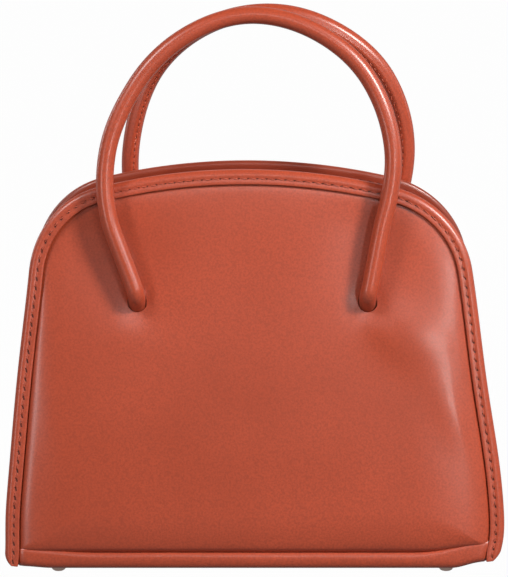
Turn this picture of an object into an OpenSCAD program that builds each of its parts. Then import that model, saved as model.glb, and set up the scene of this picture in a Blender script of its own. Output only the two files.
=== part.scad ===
// Top handle bag: a small domed leather bag with bound rims, a recessed top zip and two rolled
// handles whose ends go through slots in the panels. Millimetres. -Y is the front, +X is the
// right-hand side as seen from the front, +Z is up, and the feet stand on z = 0.

/* [Body] */
// Width across the base, side line to side line
base_w = 265; // [235:1:300]
// Depth of the base, front face to back face
base_d = 102; // [90:1:125]
// Depth between the two rims at the crown
crown_d = 40; // [37:0.5:50]
// Height from the underside of the base to the crown
body_h = 206.6; // [190:1:235]
// Inward lean of each side, degrees
side_lean = 6.35; // [3:0.05:9]
// Radius of the long arc over the crown
crown_r = 327; // [290:1:400]
// Radius of each shoulder
shoulder_r = 50; // [40:1:60]
// Radius of the rim's lower corners
corner_r = 7; // [4:0.5:12]

/* [Leather] */
// Thickness of the shell leather
leather_t = 1.4; // [1:0.1:1.8]
// Thickness of the gusset leather
gusset_t = 1.2; // [0.8:0.1:1.6]
// Thickness of the stiffener behind each panel
stiffener_t = 0.8; // [0.5:0.1:1.1]
// Thickness of the lining
lining_t = 0.6; // [0.4:0.1:1]
// Width of the binding on each rim
binding_w = 7.6; // [6.5:0.1:9]
// Play between layers that are sewn or glued together
layer_gap = 0.05; // [0.02:0.01:0.1]

/* [Base] */
// Height of the base strip on the front and the back
strip_h = 8.6; // [6:0.2:14]
// Radius under the front and back edges of the base
base_edge_r = 3; // [2:0.5:5]
// Height of the rims' ends above the underside of the base
rim_lift = 2; // [1:0.2:4]
// Thickness of the base board
board_t = 1.8; // [1:0.1:3]

/* [Feet] */
// Height of each foot
foot_h = 3.6; // [2.5:0.1:4]
// Radius of each foot
foot_r = 4.2; // [4.1:0.1:6]
// Distance from the end of the base to the middle of each foot
foot_end_in = 30.5; // [24:0.5:50]
// Distance from the front or back edge of the base to the middle of each foot
foot_edge_in = 12; // [10.5:0.5:20]
// Radius of each foot's shank
shank_r = 1.2; // [0.8:0.1:1.6]
// Radius of the washer that clamps each foot
washer_r = 5; // [4:0.1:7]
// Thickness of that washer
washer_t = 0.7; // [0.5:0.1:1]

/* [Handles] */
// Radius of the rolled handles
handle_r = 4.65; // [4:0.05:5.2]
// Thickness of the leather rolled round each core
cover_t = 1.3; // [1:0.1:1.6]
// Distance from the bag's middle to each handle slot
slot_x = 60.2; // [50:0.2:70]
// Height of the handle slots above the underside of the base
slot_h = 137; // [120:0.5:145]
// Height of each handle's crown above its slots, along the handle
handle_rise = 151; // [135:1:170]
// Radius of the handle's crown
arch_r = 72; // [66:0.5:78]
// Half of the crown's angle, degrees
arch_turn = 60; // [50:1:68]
// Radius of the handle's sides
flank_r = 94; // [85:0.5:110]
// Radius of the bend at each handle end
bend_r = 5.5; // [5.3:0.1:8]
// Sideways lean of the front handle's crown
front_sway = -2; // [-6:0.5:6]
// Sideways lean of the back handle's crown
back_sway = 8.5; // [-9:0.5:9]
// Angle at which the handle ends go in, from the panel's face, degrees
entry_angle = 60; // [50:1:75]
// Turn of the handles, outward from rest, degrees
handle_turn = 0; // [0:1:45]
// Clearance between a handle and the rim behind it
handle_gap = 0.5; // [0.4:0.1:2]
// Clearance round a handle end in its slot
slot_gap = 0.45; // [0.4:0.05:0.8]
// Radius of the stop disc on each handle end
disc_r = 8; // [7.6:0.1:9]
// Thickness of the stop disc
disc_t = 1.2; // [0.8:0.1:2]

/* [Zip] */
// Width of the opening between the two zip strips
zip_gap_w = 11; // [10:0.2:13]
// Width of each half of the zip tape
tape_w = 13.4; // [11:0.2:13.6]
// Thickness of the tape
tape_t = 0.5; // [0.4:0.1:0.8]
// Distance from tooth to tooth
tooth_pitch = 2.6; // [2.2:0.1:3.5]
// Height of a tooth
tooth_h = 2; // [1.6:0.1:2.4]
// Reach of a tooth from the tape's edge, across the middle
tooth_reach = 2.8; // [2.4:0.1:3.4]
// Length of the slider
slider_l = 9; // [7:0.5:12]
// Width of the slider
slider_w = 8.4; // [7.6:0.1:8.8]
// Thickness of the slider's plates
plate_t = 1; // [0.8:0.1:1.2]
// Running clearance round the chain
slide_gap = 0.35; // [0.3:0.05:0.5]
// Length of the leather pull tab
pull_l = 15; // [12:0.5:20]
// Width of the pull tab
pull_w = 6.4; // [5.4:0.2:8]
// Thickness of the pull tab
pull_t = 2.2; // [2:0.1:2.4]

/* [Hidden] */
$fn = 96;

LEATHER = [0.74, 0.33, 0.24];
LEATHER_DARK = [0.62, 0.26, 0.19];
LINING = [0.78, 0.66, 0.55];
BOARD = [0.55, 0.5, 0.44];
METAL = [0.86, 0.75, 0.68];
TAPE = [0.5, 0.22, 0.17];

// Cuts and half spaces reach this far past the bag, worked out from its sizes
reach = base_w + body_h + handle_rise;

// Levels, from the floor
base_z = foot_h;
rim_z = base_z + rim_lift;
crown_z = base_z + body_h;
seam_z = base_z + strip_h;
board_z = base_z + leather_t + layer_gap;
board_top = board_z + board_t;
base_lining_z = board_top + washer_t + 2 * layer_gap;
base_lining_top = base_lining_z + lining_t;

// Each panel leans back from the base to the crown
panel_lean = atan((base_d - crown_d) / 2 / body_h);

// Depths of the layers, counted inward from a binding's outer face and square to the panel
panel_in = leather_t + layer_gap;
panel_out = panel_in + leather_t;
flange_in = panel_out + layer_gap;
flange_out = flange_in + gusset_t;
wrap_in = flange_out + layer_gap;
rim_depth = wrap_in + leather_t;
lining_in = flange_out + layer_gap;
lining_out = lining_in + lining_t;

// Insets of the layers, counted inward from the rim's outer edge
panel_inset = leather_t + layer_gap;
gusset_inset = binding_w;
gusset_inner = gusset_inset + gusset_t;
lining_inset = gusset_inner + layer_gap;
lining_inner = lining_inset + lining_t;
wrap_inset = binding_w / 2;

// The crown's arc is centred on the zip's own axis, and each shoulder is tangent to it
arc_z = crown_z - crown_r;
side_foot = base_w / 2;
side_dir = [-sin(side_lean), cos(side_lean)];
side_out = [cos(side_lean), sin(side_lean)];
shoulder_start = [side_foot, base_z] - side_out * shoulder_r - [0, arc_z];
shoulder_along = shoulder_start * side_dir;
shoulder_room = shoulder_start * shoulder_start - pow(crown_r - shoulder_r, 2);
shoulder_step = sqrt(pow(shoulder_along, 2) - shoulder_room) - shoulder_along;
shoulder_c = shoulder_start + side_dir * shoulder_step + [0, arc_z];
crown_half = atan2(shoulder_c[0], shoulder_c[1] - arc_z);

// Distance from the middle plane to the side line at height z, inset by d
function side_x(z, d) = side_foot - (z - base_z) * tan(side_lean) - d / cos(side_lean);
base_end_x = side_x(base_z, gusset_inset);

// Handle slots, in the panel's own plane
slot_z = base_z + slot_h;
pivot_depth = (panel_in + lining_out) / 2;
pivot_y = -base_d / 2 + (slot_z - base_z) * tan(panel_lean) + pivot_depth / cos(panel_lean);
handle_out = handle_r + handle_gap + pivot_depth;
corner_reach = handle_out / sin(entry_angle);
corner_up = corner_reach * cos(entry_angle);
half_wall = (lining_out - panel_in) / 2;
slot_half = handle_r / sin(entry_angle) + half_wall / tan(entry_angle) + slot_gap;
disc_in = (half_wall + slot_gap + disc_r * cos(entry_angle)) / sin(entry_angle);
core_r = handle_r - cover_t - 2 * layer_gap;
// The collars that join a handle's stretches: how proud they stand, their length, and how far
// short of their middle each stretch stops
joint_bead = 0.1;
joint_l = 0.4;
joint_gap = 0.05;

// The zip, in radii about the crown's centre and lengths along the chain
tape_top = lining_inset;
tape_low = tape_top + tape_t;
chain_inset = (tape_top + tape_low) / 2;
chain_r = crown_r - chain_inset;
tooth_l_share = 0.46;
tape_edge = tooth_reach * 0.66;
stop_l = tooth_pitch;
end_gap = tooth_pitch / 2;
stop_end = crown_half - arc_angle(end_gap);
stop_start = stop_end - arc_angle(stop_l);
slider_park = stop_start - arc_angle(slide_gap + slider_l / 2);
chain_half = stop_start - arc_angle(slide_gap);
tooth_step = arc_angle(tooth_pitch);
tooth_n = floor(2 * chain_half / tooth_step);
plate_low = tooth_h / 2 + slide_gap;
plate_high = plate_low + plate_t;
pin_r = plate_t * 0.6;
eye_bore = pin_r + slide_gap;
eye_r = eye_bore + pin_r * 0.8;
pin_h = plate_high + slide_gap + eye_r;
eye_w = pull_w * 0.42;
ear_t = plate_t * 0.9;
link_t = plate_t;
link_l = slider_l / 2 + eye_r;
tuck_l = link_l / 2;
pull_droop = 2;

function arc_angle(l) = l / chain_r * 180 / PI;

// Crown and shoulders seen from the front, inset by d, in X and Z
module crown_shape(d) {
    high_r = crown_r + shoulder_r;
    intersection() {
        translate([0, arc_z]) circle(r = crown_r - d, $fn = 360);
        polygon([[0, arc_z], [high_r * tan(crown_half), arc_z + high_r],
            [-high_r * tan(crown_half), arc_z + high_r]]);
        translate([-reach, shoulder_c[1] - shoulder_r]) square([2 * reach, reach]);
    }
    for (side = [-1, 1])
        translate([side * shoulder_c[0], shoulder_c[1]]) circle(r = shoulder_r - d);
}

// The whole front view, with its sides run straight down to the floor
module silhouette(d) {
    side_top = shoulder_c + side_out * (shoulder_r - d);
    crown_shape(d);
    polygon([[-side_x(0, d), 0], [side_x(0, d), 0], side_top, shoulder_c,
        [-shoulder_c[0], shoulder_c[1]], [-side_top[0], side_top[1]]]);
}

// Outline of a rim, inset by d, with its rounded lower corners
module outline(d) {
    low = rim_z + d;
    soft = max(corner_r - d, 0);
    round_in = max(corner_r, d);
    knee = [side_x(rim_z + round_in, round_in), rim_z + round_in];
    corner = knee + side_out * soft;
    side_top = shoulder_c + side_out * (shoulder_r - d);
    crown_shape(d);
    polygon([[-knee[0], low], [knee[0], low], knee, corner, side_top, shoulder_c,
        [-shoulder_c[0], shoulder_c[1]], [-side_top[0], side_top[1]],
        [-corner[0], corner[1]], [-knee[0], knee[1]]]);
    if (soft > 0)
        for (side = [-1, 1])
            translate([side * knee[0], knee[1]]) circle(r = soft);
}

// Band of the rim between two insets
module band(d_out, d_in) {
    difference() {
        outline(d_out);
        outline(d_in);
    }
}

// Strip along the sides and the crown between two insets
module wall(d_out, d_in) {
    difference() {
        silhouette(d_out);
        silhouette(d_in);
    }
}

// Runs a front-view shape through the whole depth
module through() {
    translate([0, reach / 2, 0]) rotate([90, 0, 0]) linear_extrude(reach) children();
}

// Space between two depths behind the front binding's face
module layer(from, to) {
    translate([0, -base_d / 2, base_z]) rotate([-panel_lean, 0, 0])
        translate([-reach, from, -reach]) cube([2 * reach, to - from, 2 * reach]);
}

// Everything behind one depth of both panels
module between(depth) {
    intersection() {
        layer(depth, reach);
        mirror([0, 1, 0]) layer(depth, reach);
    }
}

module above(z) {
    translate([-reach, -reach, z]) cube([2 * reach, 2 * reach, reach]);
}

// Part of the crown within an angle of the middle, seen from the front
module crown_wedge(half) {
    low_r = shoulder_c[1] - arc_z;
    high_r = low_r + reach;
    through() polygon([[-low_r * tan(half), arc_z + low_r], [low_r * tan(half), arc_z + low_r],
        [high_r * tan(half), arc_z + high_r], [-high_r * tan(half), arc_z + high_r]]);
}

module at_back() {
    mirror([0, 1, 0]) children();
}

// Slot for a handle end, cut square through the panel's layers
module handle_slots() {
    for (side = [-1, 1])
        translate([side * slot_x, pivot_y, slot_z]) rotate([-panel_lean, 0, 0]) rotate([90, 0, 0])
            translate([0, 0, -rim_depth]) linear_extrude(2 * rim_depth) slot_shape();
}

module slot_shape() {
    straight = slot_half - handle_r - slot_gap;
    for (end = [-1, 1])
        translate([0, end * straight]) circle(r = handle_r + slot_gap);
    square([2 * (handle_r + slot_gap), 2 * straight], center = true);
}

// Binding folded over the rim, open at the base where the strip passes
module binding() {
    color(LEATHER) difference() {
        union() {
            intersection() {
                layer(0, leather_t);
                through() band(0, binding_w);
            }
            intersection() {
                layer(0, rim_depth);
                through() band(0, leather_t);
            }
            intersection() {
                layer(wrap_in, rim_depth);
                through() band(0, wrap_inset);
            }
        }
        translate([-base_end_x - layer_gap, -reach, -reach])
            cube([2 * (base_end_x + layer_gap), 2 * reach, reach + rim_z + binding_w + layer_gap]);
    }
}

module shell_layer(from, to, inset, low) {
    difference() {
        intersection() {
            layer(from, to);
            through() outline(inset);
            above(low);
        }
        handle_slots();
    }
}

module panel() {
    color(LEATHER) shell_layer(panel_in, panel_out, panel_inset, seam_z + layer_gap);
}

module stiffener() {
    color(BOARD)
        shell_layer(flange_in, flange_in + stiffener_t, lining_inner, board_top + layer_gap);
}

module panel_lining() {
    color(LINING) shell_layer(lining_in, lining_out, lining_inset, board_top + layer_gap);
}

// Gusset wall with the seam allowance turned out along both rims
module gusset_ring() {
    intersection() {
        between(flange_in);
        union() {
            through() wall(gusset_inset, gusset_inner);
            intersection() {
                through() difference() {
                    outline(panel_inset);
                    silhouette(gusset_inner);
                }
                union() {
                    layer(flange_in, flange_out);
                    at_back() layer(flange_in, flange_out);
                }
            }
        }
        gusset_foot();
    }
}

// Space over the base leather, sloped off where its front and back edges are rounded inside
module gusset_foot() {
    foot_y = base_d / 2 - panel_out / cos(panel_lean) - (base_edge_r - leather_t);
    along_x() polygon([[-foot_y, board_z], [foot_y, board_z],
        [foot_y + reach, board_z + reach], [-foot_y - reach, board_z + reach]]);
}

module right_half() {
    translate([0, -reach, -reach]) cube(2 * reach);
}

module gusset() {
    color(LEATHER_DARK) difference() {
        intersection() {
            gusset_ring();
            right_half();
        }
        crown_wedge(crown_half);
    }
}

module gusset_lining() {
    color(LINING) difference() {
        intersection() {
            between(lining_out + layer_gap);
            through() wall(lining_inset, lining_inner);
            above(base_lining_z);
            right_half();
        }
        crown_wedge(crown_half + arc_angle(layer_gap));
    }
}

// Section of the base leather across the bag: a tray with rounded lower edges
module base_section(inset) {
    foot_y = base_d / 2 - (panel_in + inset) / cos(panel_lean);
    edge = base_edge_r - inset;
    low = base_z + inset;
    edge_c = [foot_y - edge / cos(panel_lean) - edge * tan(panel_lean), low + edge];
    lean_out = [cos(panel_lean), sin(panel_lean)];
    top = reach * cos(panel_lean);
    polygon([
        [-edge_c[0], low], [edge_c[0], low], edge_c, edge_c + lean_out * edge,
        edge_c + lean_out * edge + [-sin(panel_lean), cos(panel_lean)] * 2 * strip_h,
        [-edge_c[0] - lean_out[0] * edge + 2 * strip_h * sin(panel_lean),
            edge_c[1] + lean_out[1] * edge + 2 * strip_h * cos(panel_lean)],
        [-edge_c[0] - lean_out[0] * edge, edge_c[1] + lean_out[1] * edge],
        [-edge_c[0], edge_c[1]]
    ]);
    for (side = [-1, 1])
        translate([side * edge_c[0], edge_c[1]]) circle(r = edge);
}

module along_x() {
    rotate([90, 0, 90]) translate([0, 0, -reach / 2]) linear_extrude(reach) children();
}

module foot_places() {
    foot_x = base_w / 2 - foot_end_in;
    foot_y = base_d / 2 - foot_edge_in;
    for (x = [-1, 1], y = [-1, 1])
        translate([x * foot_x, y * foot_y, 0]) children();
}

module foot_holes() {
    foot_places() cylinder(r = shank_r + layer_gap, h = base_lining_z);
}

module base_panel() {
    color(LEATHER) difference() {
        intersection() {
            along_x() difference() {
                base_section(0);
                base_section(leather_t);
            }
            through() union() {
                outline(panel_inset);
                intersection() {
                    silhouette(gusset_inset);
                    square([2 * reach, 2 * (rim_z + corner_r)], center = true);
                }
            }
            translate([-reach, -reach, -reach]) cube([2 * reach, 2 * reach, reach + seam_z]);
        }
        foot_holes();
    }
}

module base_board() {
    color(BOARD) difference() {
        intersection() {
            along_x() base_section(leather_t + 2 * layer_gap);
            through() intersection() {
                silhouette(lining_inset);
                translate([-reach, board_z]) square([2 * reach, board_t]);
            }
        }
        foot_holes();
    }
}

module base_lining() {
    color(LINING) intersection() {
        between(lining_out + layer_gap);
        through() intersection() {
            silhouette(lining_inner + layer_gap);
            translate([-reach, base_lining_z]) square([2 * reach, lining_t]);
        }
    }
}

module feet() {
    color(METAL) foot_places() {
        intersection() {
            translate([0, 0, foot_h]) sphere(r = foot_r);
            cylinder(r = 2 * foot_r, h = foot_h - layer_gap);
        }
        cylinder(r = shank_r, h = board_top + washer_t);
    }
}

module foot_washers() {
    color(METAL) foot_places() translate([0, 0, board_top + layer_gap]) difference() {
        cylinder(r = washer_r, h = washer_t);
        translate([0, 0, -washer_t]) cylinder(r = shank_r + layer_gap, h = 3 * washer_t);
    }
}

module front_of(y) {
    translate([-reach, -2 * reach, -reach]) cube([2 * reach, 2 * reach - y, 3 * reach]);
}

module zip_strip() {
    color(LEATHER) intersection() {
        gusset_ring();
        crown_wedge(crown_half - arc_angle(layer_gap));
        front_of(zip_gap_w / 2);
    }
}

module zip_lining() {
    color(LINING) intersection() {
        between(lining_out + layer_gap);
        through() wall(tape_low + layer_gap, tape_low + layer_gap + lining_t);
        crown_wedge(crown_half - arc_angle(layer_gap));
        front_of(slider_w / 2 + tooth_h);
    }
}

module zip_tape() {
    color(TAPE) intersection() {
        through() wall(tape_top, tape_low);
        crown_wedge(crown_half - arc_angle(layer_gap));
        translate([-reach, -tape_edge - tape_w, -reach]) cube([2 * reach, tape_w, 3 * reach]);
    }
}

// Puts a shape on the chain's arc, at an angle from the middle towards +X
module on_chain(angle) {
    translate([0, 0, arc_z]) rotate([0, angle, 0]) translate([0, 0, chain_r]) children();
}

module zip_teeth(first) {
    tooth_l = tooth_pitch * tooth_l_share;
    color(METAL) for (i = [first : 2 : tooth_n - 1])
        on_chain((i - (tooth_n - 1) / 2) * tooth_step)
            translate([-tooth_l / 2, -tape_edge + layer_gap, -tooth_h / 2])
                cube([tooth_l, tooth_reach - layer_gap, tooth_h]);
}

module zip_stops() {
    color(METAL) for (side = [-1, 1])
        on_chain(side * (stop_start + stop_end) / 2)
            cube([stop_l, 2 * (tape_edge - layer_gap), tooth_h], center = true);
}

// The slider is parked at the -X end of the chain
module slider_place() {
    on_chain(-slider_park) children();
}

module zip_slider_top() {
    lip_h = tooth_h / 2 - tape_t / 2 - slide_gap;
    color(METAL) slider_place() {
        translate([-slider_l / 2, -slider_w / 2, plate_low]) cube([slider_l, slider_w, plate_t]);
        for (side = [-1, 1]) {
            translate([-slider_l / 2, side * (slider_w - plate_t) / 2 - plate_t / 2, plate_low - lip_h])
                cube([slider_l, plate_t, lip_h + plate_t / 2]);
            translate([-pin_r * 2, side * (eye_w / 2 + slide_gap + ear_t / 2) - ear_t / 2, plate_low])
                cube([pin_r * 4, ear_t, pin_h + pin_r * 1.5 - plate_low]);
        }
        translate([0, 0, pin_h]) rotate([90, 0, 0])
            cylinder(r = pin_r, h = eye_w + 2 * slide_gap + ear_t, center = true);
    }
}

module zip_slider_bottom() {
    lip_h = tooth_h / 2 - tape_t / 2 - slide_gap;
    color(METAL) slider_place() {
        translate([-slider_l / 2, -slider_w / 2, -plate_high]) cube([slider_l, slider_w, plate_t]);
        for (side = [-1, 1])
            translate([-slider_l / 2, side * (slider_w - plate_t) / 2 - plate_t / 2, -plate_high])
                cube([slider_l, plate_t, plate_t + lip_h]);
    }
}

module pull_place() {
    slider_place() translate([0, 0, pin_h]) rotate([0, pull_droop, 0]) children();
}

module zip_pull_link() {
    color(METAL) pull_place() difference() {
        union() {
            rotate([90, 0, 0]) cylinder(r = eye_r, h = eye_w, center = true);
            translate([0, -eye_w / 2, -link_t / 2]) cube([link_l + tuck_l, eye_w, link_t]);
        }
        rotate([90, 0, 0]) cylinder(r = eye_bore, h = 2 * eye_w, center = true);
    }
}

module zip_pull_tab() {
    pocket = link_t + 2 * layer_gap;
    color(LEATHER) pull_place() difference() {
        union() {
            translate([link_l, -pull_w / 2, -pull_t / 2]) cube([pull_l - pull_w / 2, pull_w, pull_t]);
            translate([link_l + pull_l - pull_w / 2, 0, -pull_t / 2]) cylinder(r = pull_w / 2, h = pull_t);
        }
        translate([0, -eye_w / 2 - layer_gap, -pocket / 2])
            cube([link_l + tuck_l + layer_gap, eye_w + 2 * layer_gap, pocket]);
    }
}

// Handle, drawn in its own plane: x across, y up from the slots' axis, z out of the panel.
// Each stretch stops just short of its ends, and a collar hardly wider than the tube joins the two.
module joint(p, u, r) {
    along(p, u) cylinder(r = r + joint_bead, h = joint_l, center = true);
}

// Stands a shape at p with its z axis along direction u
module along(p, u) {
    side = cross([1, 0, 0], u);
    ey = side / norm(side);
    ex = cross(ey, u);
    multmatrix([[ex[0], ey[0], u[0], p[0]], [ex[1], ey[1], u[1], p[1]], [ex[2], ey[2], u[2], p[2]]])
        children();
}

// Straight stretch from a along direction u
module run(a, u, l, r) {
    along(a, u) translate([0, 0, joint_gap]) cylinder(r = r, h = l - 2 * joint_gap);
}

// Bend from direction u to direction v, round the corner where the two lines meet
module bend(corner, u, v, r) {
    turn = acos(u * v);
    start = corner - u * bend_r * tan(turn / 2);
    c = corner + (v - u) / norm(v - u) * bend_r / cos(turn / 2);
    ex = (start - c) / bend_r;
    ez = cross(ex, u);
    multmatrix([[ex[0], u[0], ez[0], c[0]], [ex[1], u[1], ez[1], c[1]], [ex[2], u[2], ez[2], c[2]]])
        stretch(bend_r, 0, turn, r);
}

// Round stretch of radius bow_r from angle a0 counter-clockwise to a1
module stretch(bow_r, a0, a1, r) {
    trim = joint_gap / bow_r * 180 / PI;
    rotate([0, 0, a0 + trim]) rotate_extrude(angle = a1 - a0 - 2 * trim)
        translate([bow_r, 0]) circle(r = r);
}

arch_y = handle_rise - arch_r;
flank_c = [(arch_r - flank_r) * sin(arch_turn), arch_y + (arch_r - flank_r) * cos(arch_turn)];

// Angle from upright at which a leg runs down to its slot, when the crown is moved sideways
function leg_slant(sway) = leg_solve(slot_x - flank_c[0] - sway, flank_c[1] - corner_up);
function leg_solve(a, h) = atan2(h, a) - acos(flank_r / norm([a, h]));

module handle_leg(sway, r, tail) {
    slant = leg_slant(sway);
    c = [flank_c[0] + sway, flank_c[1], handle_out];
    u = [-sin(slant), -cos(slant), 0];
    v = [0, -cos(entry_angle), -sin(entry_angle)];
    knee = c + flank_r * [cos(slant), -sin(slant), 0];
    corner = [slot_x, corner_up, handle_out];
    cut = bend_r * tan(acos(u * v) / 2);
    join = [sin(arch_turn), cos(arch_turn), 0];
    joint(c + flank_r * join, [cos(arch_turn), -sin(arch_turn), 0], r);
    translate(c) stretch(flank_r, -slant, 90 - arch_turn, r);
    joint(knee, u, r);
    run(knee, u, norm(corner - knee) - cut, r);
    joint(corner - u * cut, u, r);
    bend(corner, u, v, r);
    joint(corner + v * cut, v, r);
    run(corner + v * cut, v, corner_reach - cut + tail, r);
}

module handle_tube(sway, r, tail) {
    translate([sway, arch_y, handle_out]) stretch(arch_r, 90 - arch_turn, 90 + arch_turn, r);
    handle_leg(sway, r, tail);
    mirror([1, 0, 0]) handle_leg(-sway, r, tail);
}

// Stands a handle on the front slots' axis, turned outward by handle_turn
module on_front() {
    translate([0, pivot_y, slot_z]) rotate([handle_turn, 0, 0]) rotate([90 - panel_lean, 0, 0])
        children();
}

module handle_cover(sway) {
    color(LEATHER) on_front() difference() {
        handle_tube(sway, handle_r, disc_in);
        handle_tube(sway, handle_r - cover_t, disc_in + disc_t);
    }
}

module handle_core(sway) {
    color(LINING) on_front() handle_tube(sway, core_r, disc_in);
}

module handle_discs() {
    color(METAL) on_front() for (side = [-1, 1])
        translate([side * slot_x, 0, 0]) rotate([90 + entry_angle, 0, 0])
            translate([0, 0, disc_in + layer_gap]) cylinder(r = disc_r, h = disc_t);
}

binding();  // front_binding
at_back() binding();  // back_binding
panel();  // front_panel
at_back() panel();  // back_panel
stiffener();  // front_stiffener
at_back() stiffener();  // back_stiffener
panel_lining();  // front_lining
at_back() panel_lining();  // back_lining
mirror([1, 0, 0]) gusset();  // left_gusset
gusset();  // right_gusset
mirror([1, 0, 0]) gusset_lining();  // left_gusset_lining
gusset_lining();  // right_gusset_lining
base_panel();
base_board();
base_lining();
feet();
foot_washers();
zip_strip();  // front_zip_strip
at_back() zip_strip();  // back_zip_strip
zip_lining();  // front_zip_lining
at_back() zip_lining();  // back_zip_lining
zip_tape();  // front_zip_tape
at_back() zip_tape();  // back_zip_tape
zip_teeth(0);  // front_zip_teeth
at_back() zip_teeth(1);  // back_zip_teeth
zip_stops();
zip_slider_top();
zip_slider_bottom();
zip_pull_link();
zip_pull_tab();
handle_cover(front_sway);  // front_handle_cover
handle_core(front_sway);  // front_handle_core
handle_discs();  // front_handle_discs
at_back() handle_cover(back_sway);  // back_handle_cover
at_back() handle_core(back_sway);  // back_handle_core
at_back() handle_discs();  // back_handle_discs
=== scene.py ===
"""Builds the leather, stitching, zip, handles and feet of a domed top handle bag around its frame."""

import math

import bpy
from mathutils import Matrix, Vector, noise


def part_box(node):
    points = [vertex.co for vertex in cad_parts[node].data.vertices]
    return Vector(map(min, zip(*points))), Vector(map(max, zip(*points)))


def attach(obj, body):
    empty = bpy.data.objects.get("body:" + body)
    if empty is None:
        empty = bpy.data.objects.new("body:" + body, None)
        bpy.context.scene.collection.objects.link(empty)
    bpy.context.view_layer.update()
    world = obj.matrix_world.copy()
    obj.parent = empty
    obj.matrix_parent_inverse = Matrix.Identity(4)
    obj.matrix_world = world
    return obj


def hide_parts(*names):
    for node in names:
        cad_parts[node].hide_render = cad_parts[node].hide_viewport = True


bl_info = {
    "name": "Top Handle Bag",
    "version": (1, 0, 0),
    "blender": (4, 5, 0),
    "location": "3D View > Sidebar > Bag",
    "description": "Builds a domed leather bag with bound rims and two rolled handles",
    "category": "Add Mesh",
}

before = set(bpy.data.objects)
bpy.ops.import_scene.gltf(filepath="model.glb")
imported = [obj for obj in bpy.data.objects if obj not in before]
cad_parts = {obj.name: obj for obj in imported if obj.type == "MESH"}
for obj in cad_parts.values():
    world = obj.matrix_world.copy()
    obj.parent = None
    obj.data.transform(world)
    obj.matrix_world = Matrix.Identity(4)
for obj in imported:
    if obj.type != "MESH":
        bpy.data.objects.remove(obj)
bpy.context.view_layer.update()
Props = bpy.types.PropertyGroup


def length(name, description, default):
    """A size in metres, as a property."""
    return bpy.props.FloatProperty(
        name=name, description=description, default=default, precision=5, unit="LENGTH", subtype="DISTANCE"
    )


def angle(name, description, degrees):
    """An angle, given in degrees, as a property."""
    return bpy.props.FloatProperty(
        name=name, description=description, default=math.radians(degrees), unit="ROTATION", subtype="ANGLE"
    )


def colour(name, description, default):
    """A linear colour, as a property."""
    return bpy.props.FloatVectorProperty(
        name=name, description=description, default=default, size=3, min=0, max=1, subtype="COLOR"
    )


def number(name, description, default):
    """A plain number, as a property."""
    return bpy.props.FloatProperty(name=name, description=description, default=default)


class BagForm(Props):
    """Sizes of the shell."""

    base_width: length("Base width", "Width across the base, side line to side line", 0.265)
    base_depth: length("Base depth", "Depth of the base, front face to back face", 0.102)
    crown_depth: length("Crown depth", "Depth between the two rims at the crown", 0.040)
    body_height: length("Body height", "Height from the underside of the base to the crown", 0.2066)
    side_lean: angle("Side lean", "Inward lean of each side", 6.35)
    crown_radius: length("Crown radius", "Radius of the long arc over the crown", 0.327)
    shoulder_radius: length("Shoulder radius", "Radius of each shoulder", 0.050)
    corner_radius: length("Corner radius", "Radius of the rim's lower corners", 0.0072)
    foot_height: length("Foot height", "Height of the feet", 0.0036)
    foot_x: length("Foot place", "Distance from the bag's middle to each foot's middle", 0.102)
    rim_lift: length("Rim lift", "Height of the rims' ends above the underside of the base", 0.002)
    strip_height: length("Strip height", "Height of the base strip on the front and the back", 0.0086)
    binding_width: length("Binding width", "Width of the binding on each rim", 0.0076)
    leather: length("Leather", "Thickness of the shell leather", 0.0014)
    belly: length("Belly", "How far each panel swells low down", 0.0034)
    dent: length("Dent", "How far each panel is drawn in along its handle's legs", 0.0018)
    edge_roll: length("Edge roll", "How far each panel rolls in towards its sides", 0.0013)
    edge_swell: length("Edge swell", "How far each panel rises just inside its binding", 0.0009)
    waviness: length("Waviness", "Height of each panel's unevenness", 0.0008)
    slot_tuck: length("Slot tuck", "How far each panel is drawn in round its slots", 0.0014)
    front_lean: length("Front lean", "Sideways shift of the front rim's crown", -0.0051)
    back_lean: length("Back lean", "Sideways shift of the back rim's crown", -0.0034)
    lean_power: number("Lean power", "How much of that shift stays near the crown", 6.0)
    left_lift: length("Left lift", "How far the base's left end rises", 0.0010)
    right_lift: length("Right lift", "How far the base's right end rises", 0.0032)
    corner_lift: length("Corner lift", "How far the bindings' lower right corners rise", 0.0026)
    seam_lift: length("Seam lift", "How far the base strip's seam climbs at its right end", 0.0026)
    gusset_fold: length("Gusset fold", "How far each gusset is folded in between the rims", 0.0055)
    stitch_pitch: length("Stitch pitch", "Distance from stitch to stitch", 0.0048)


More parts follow.
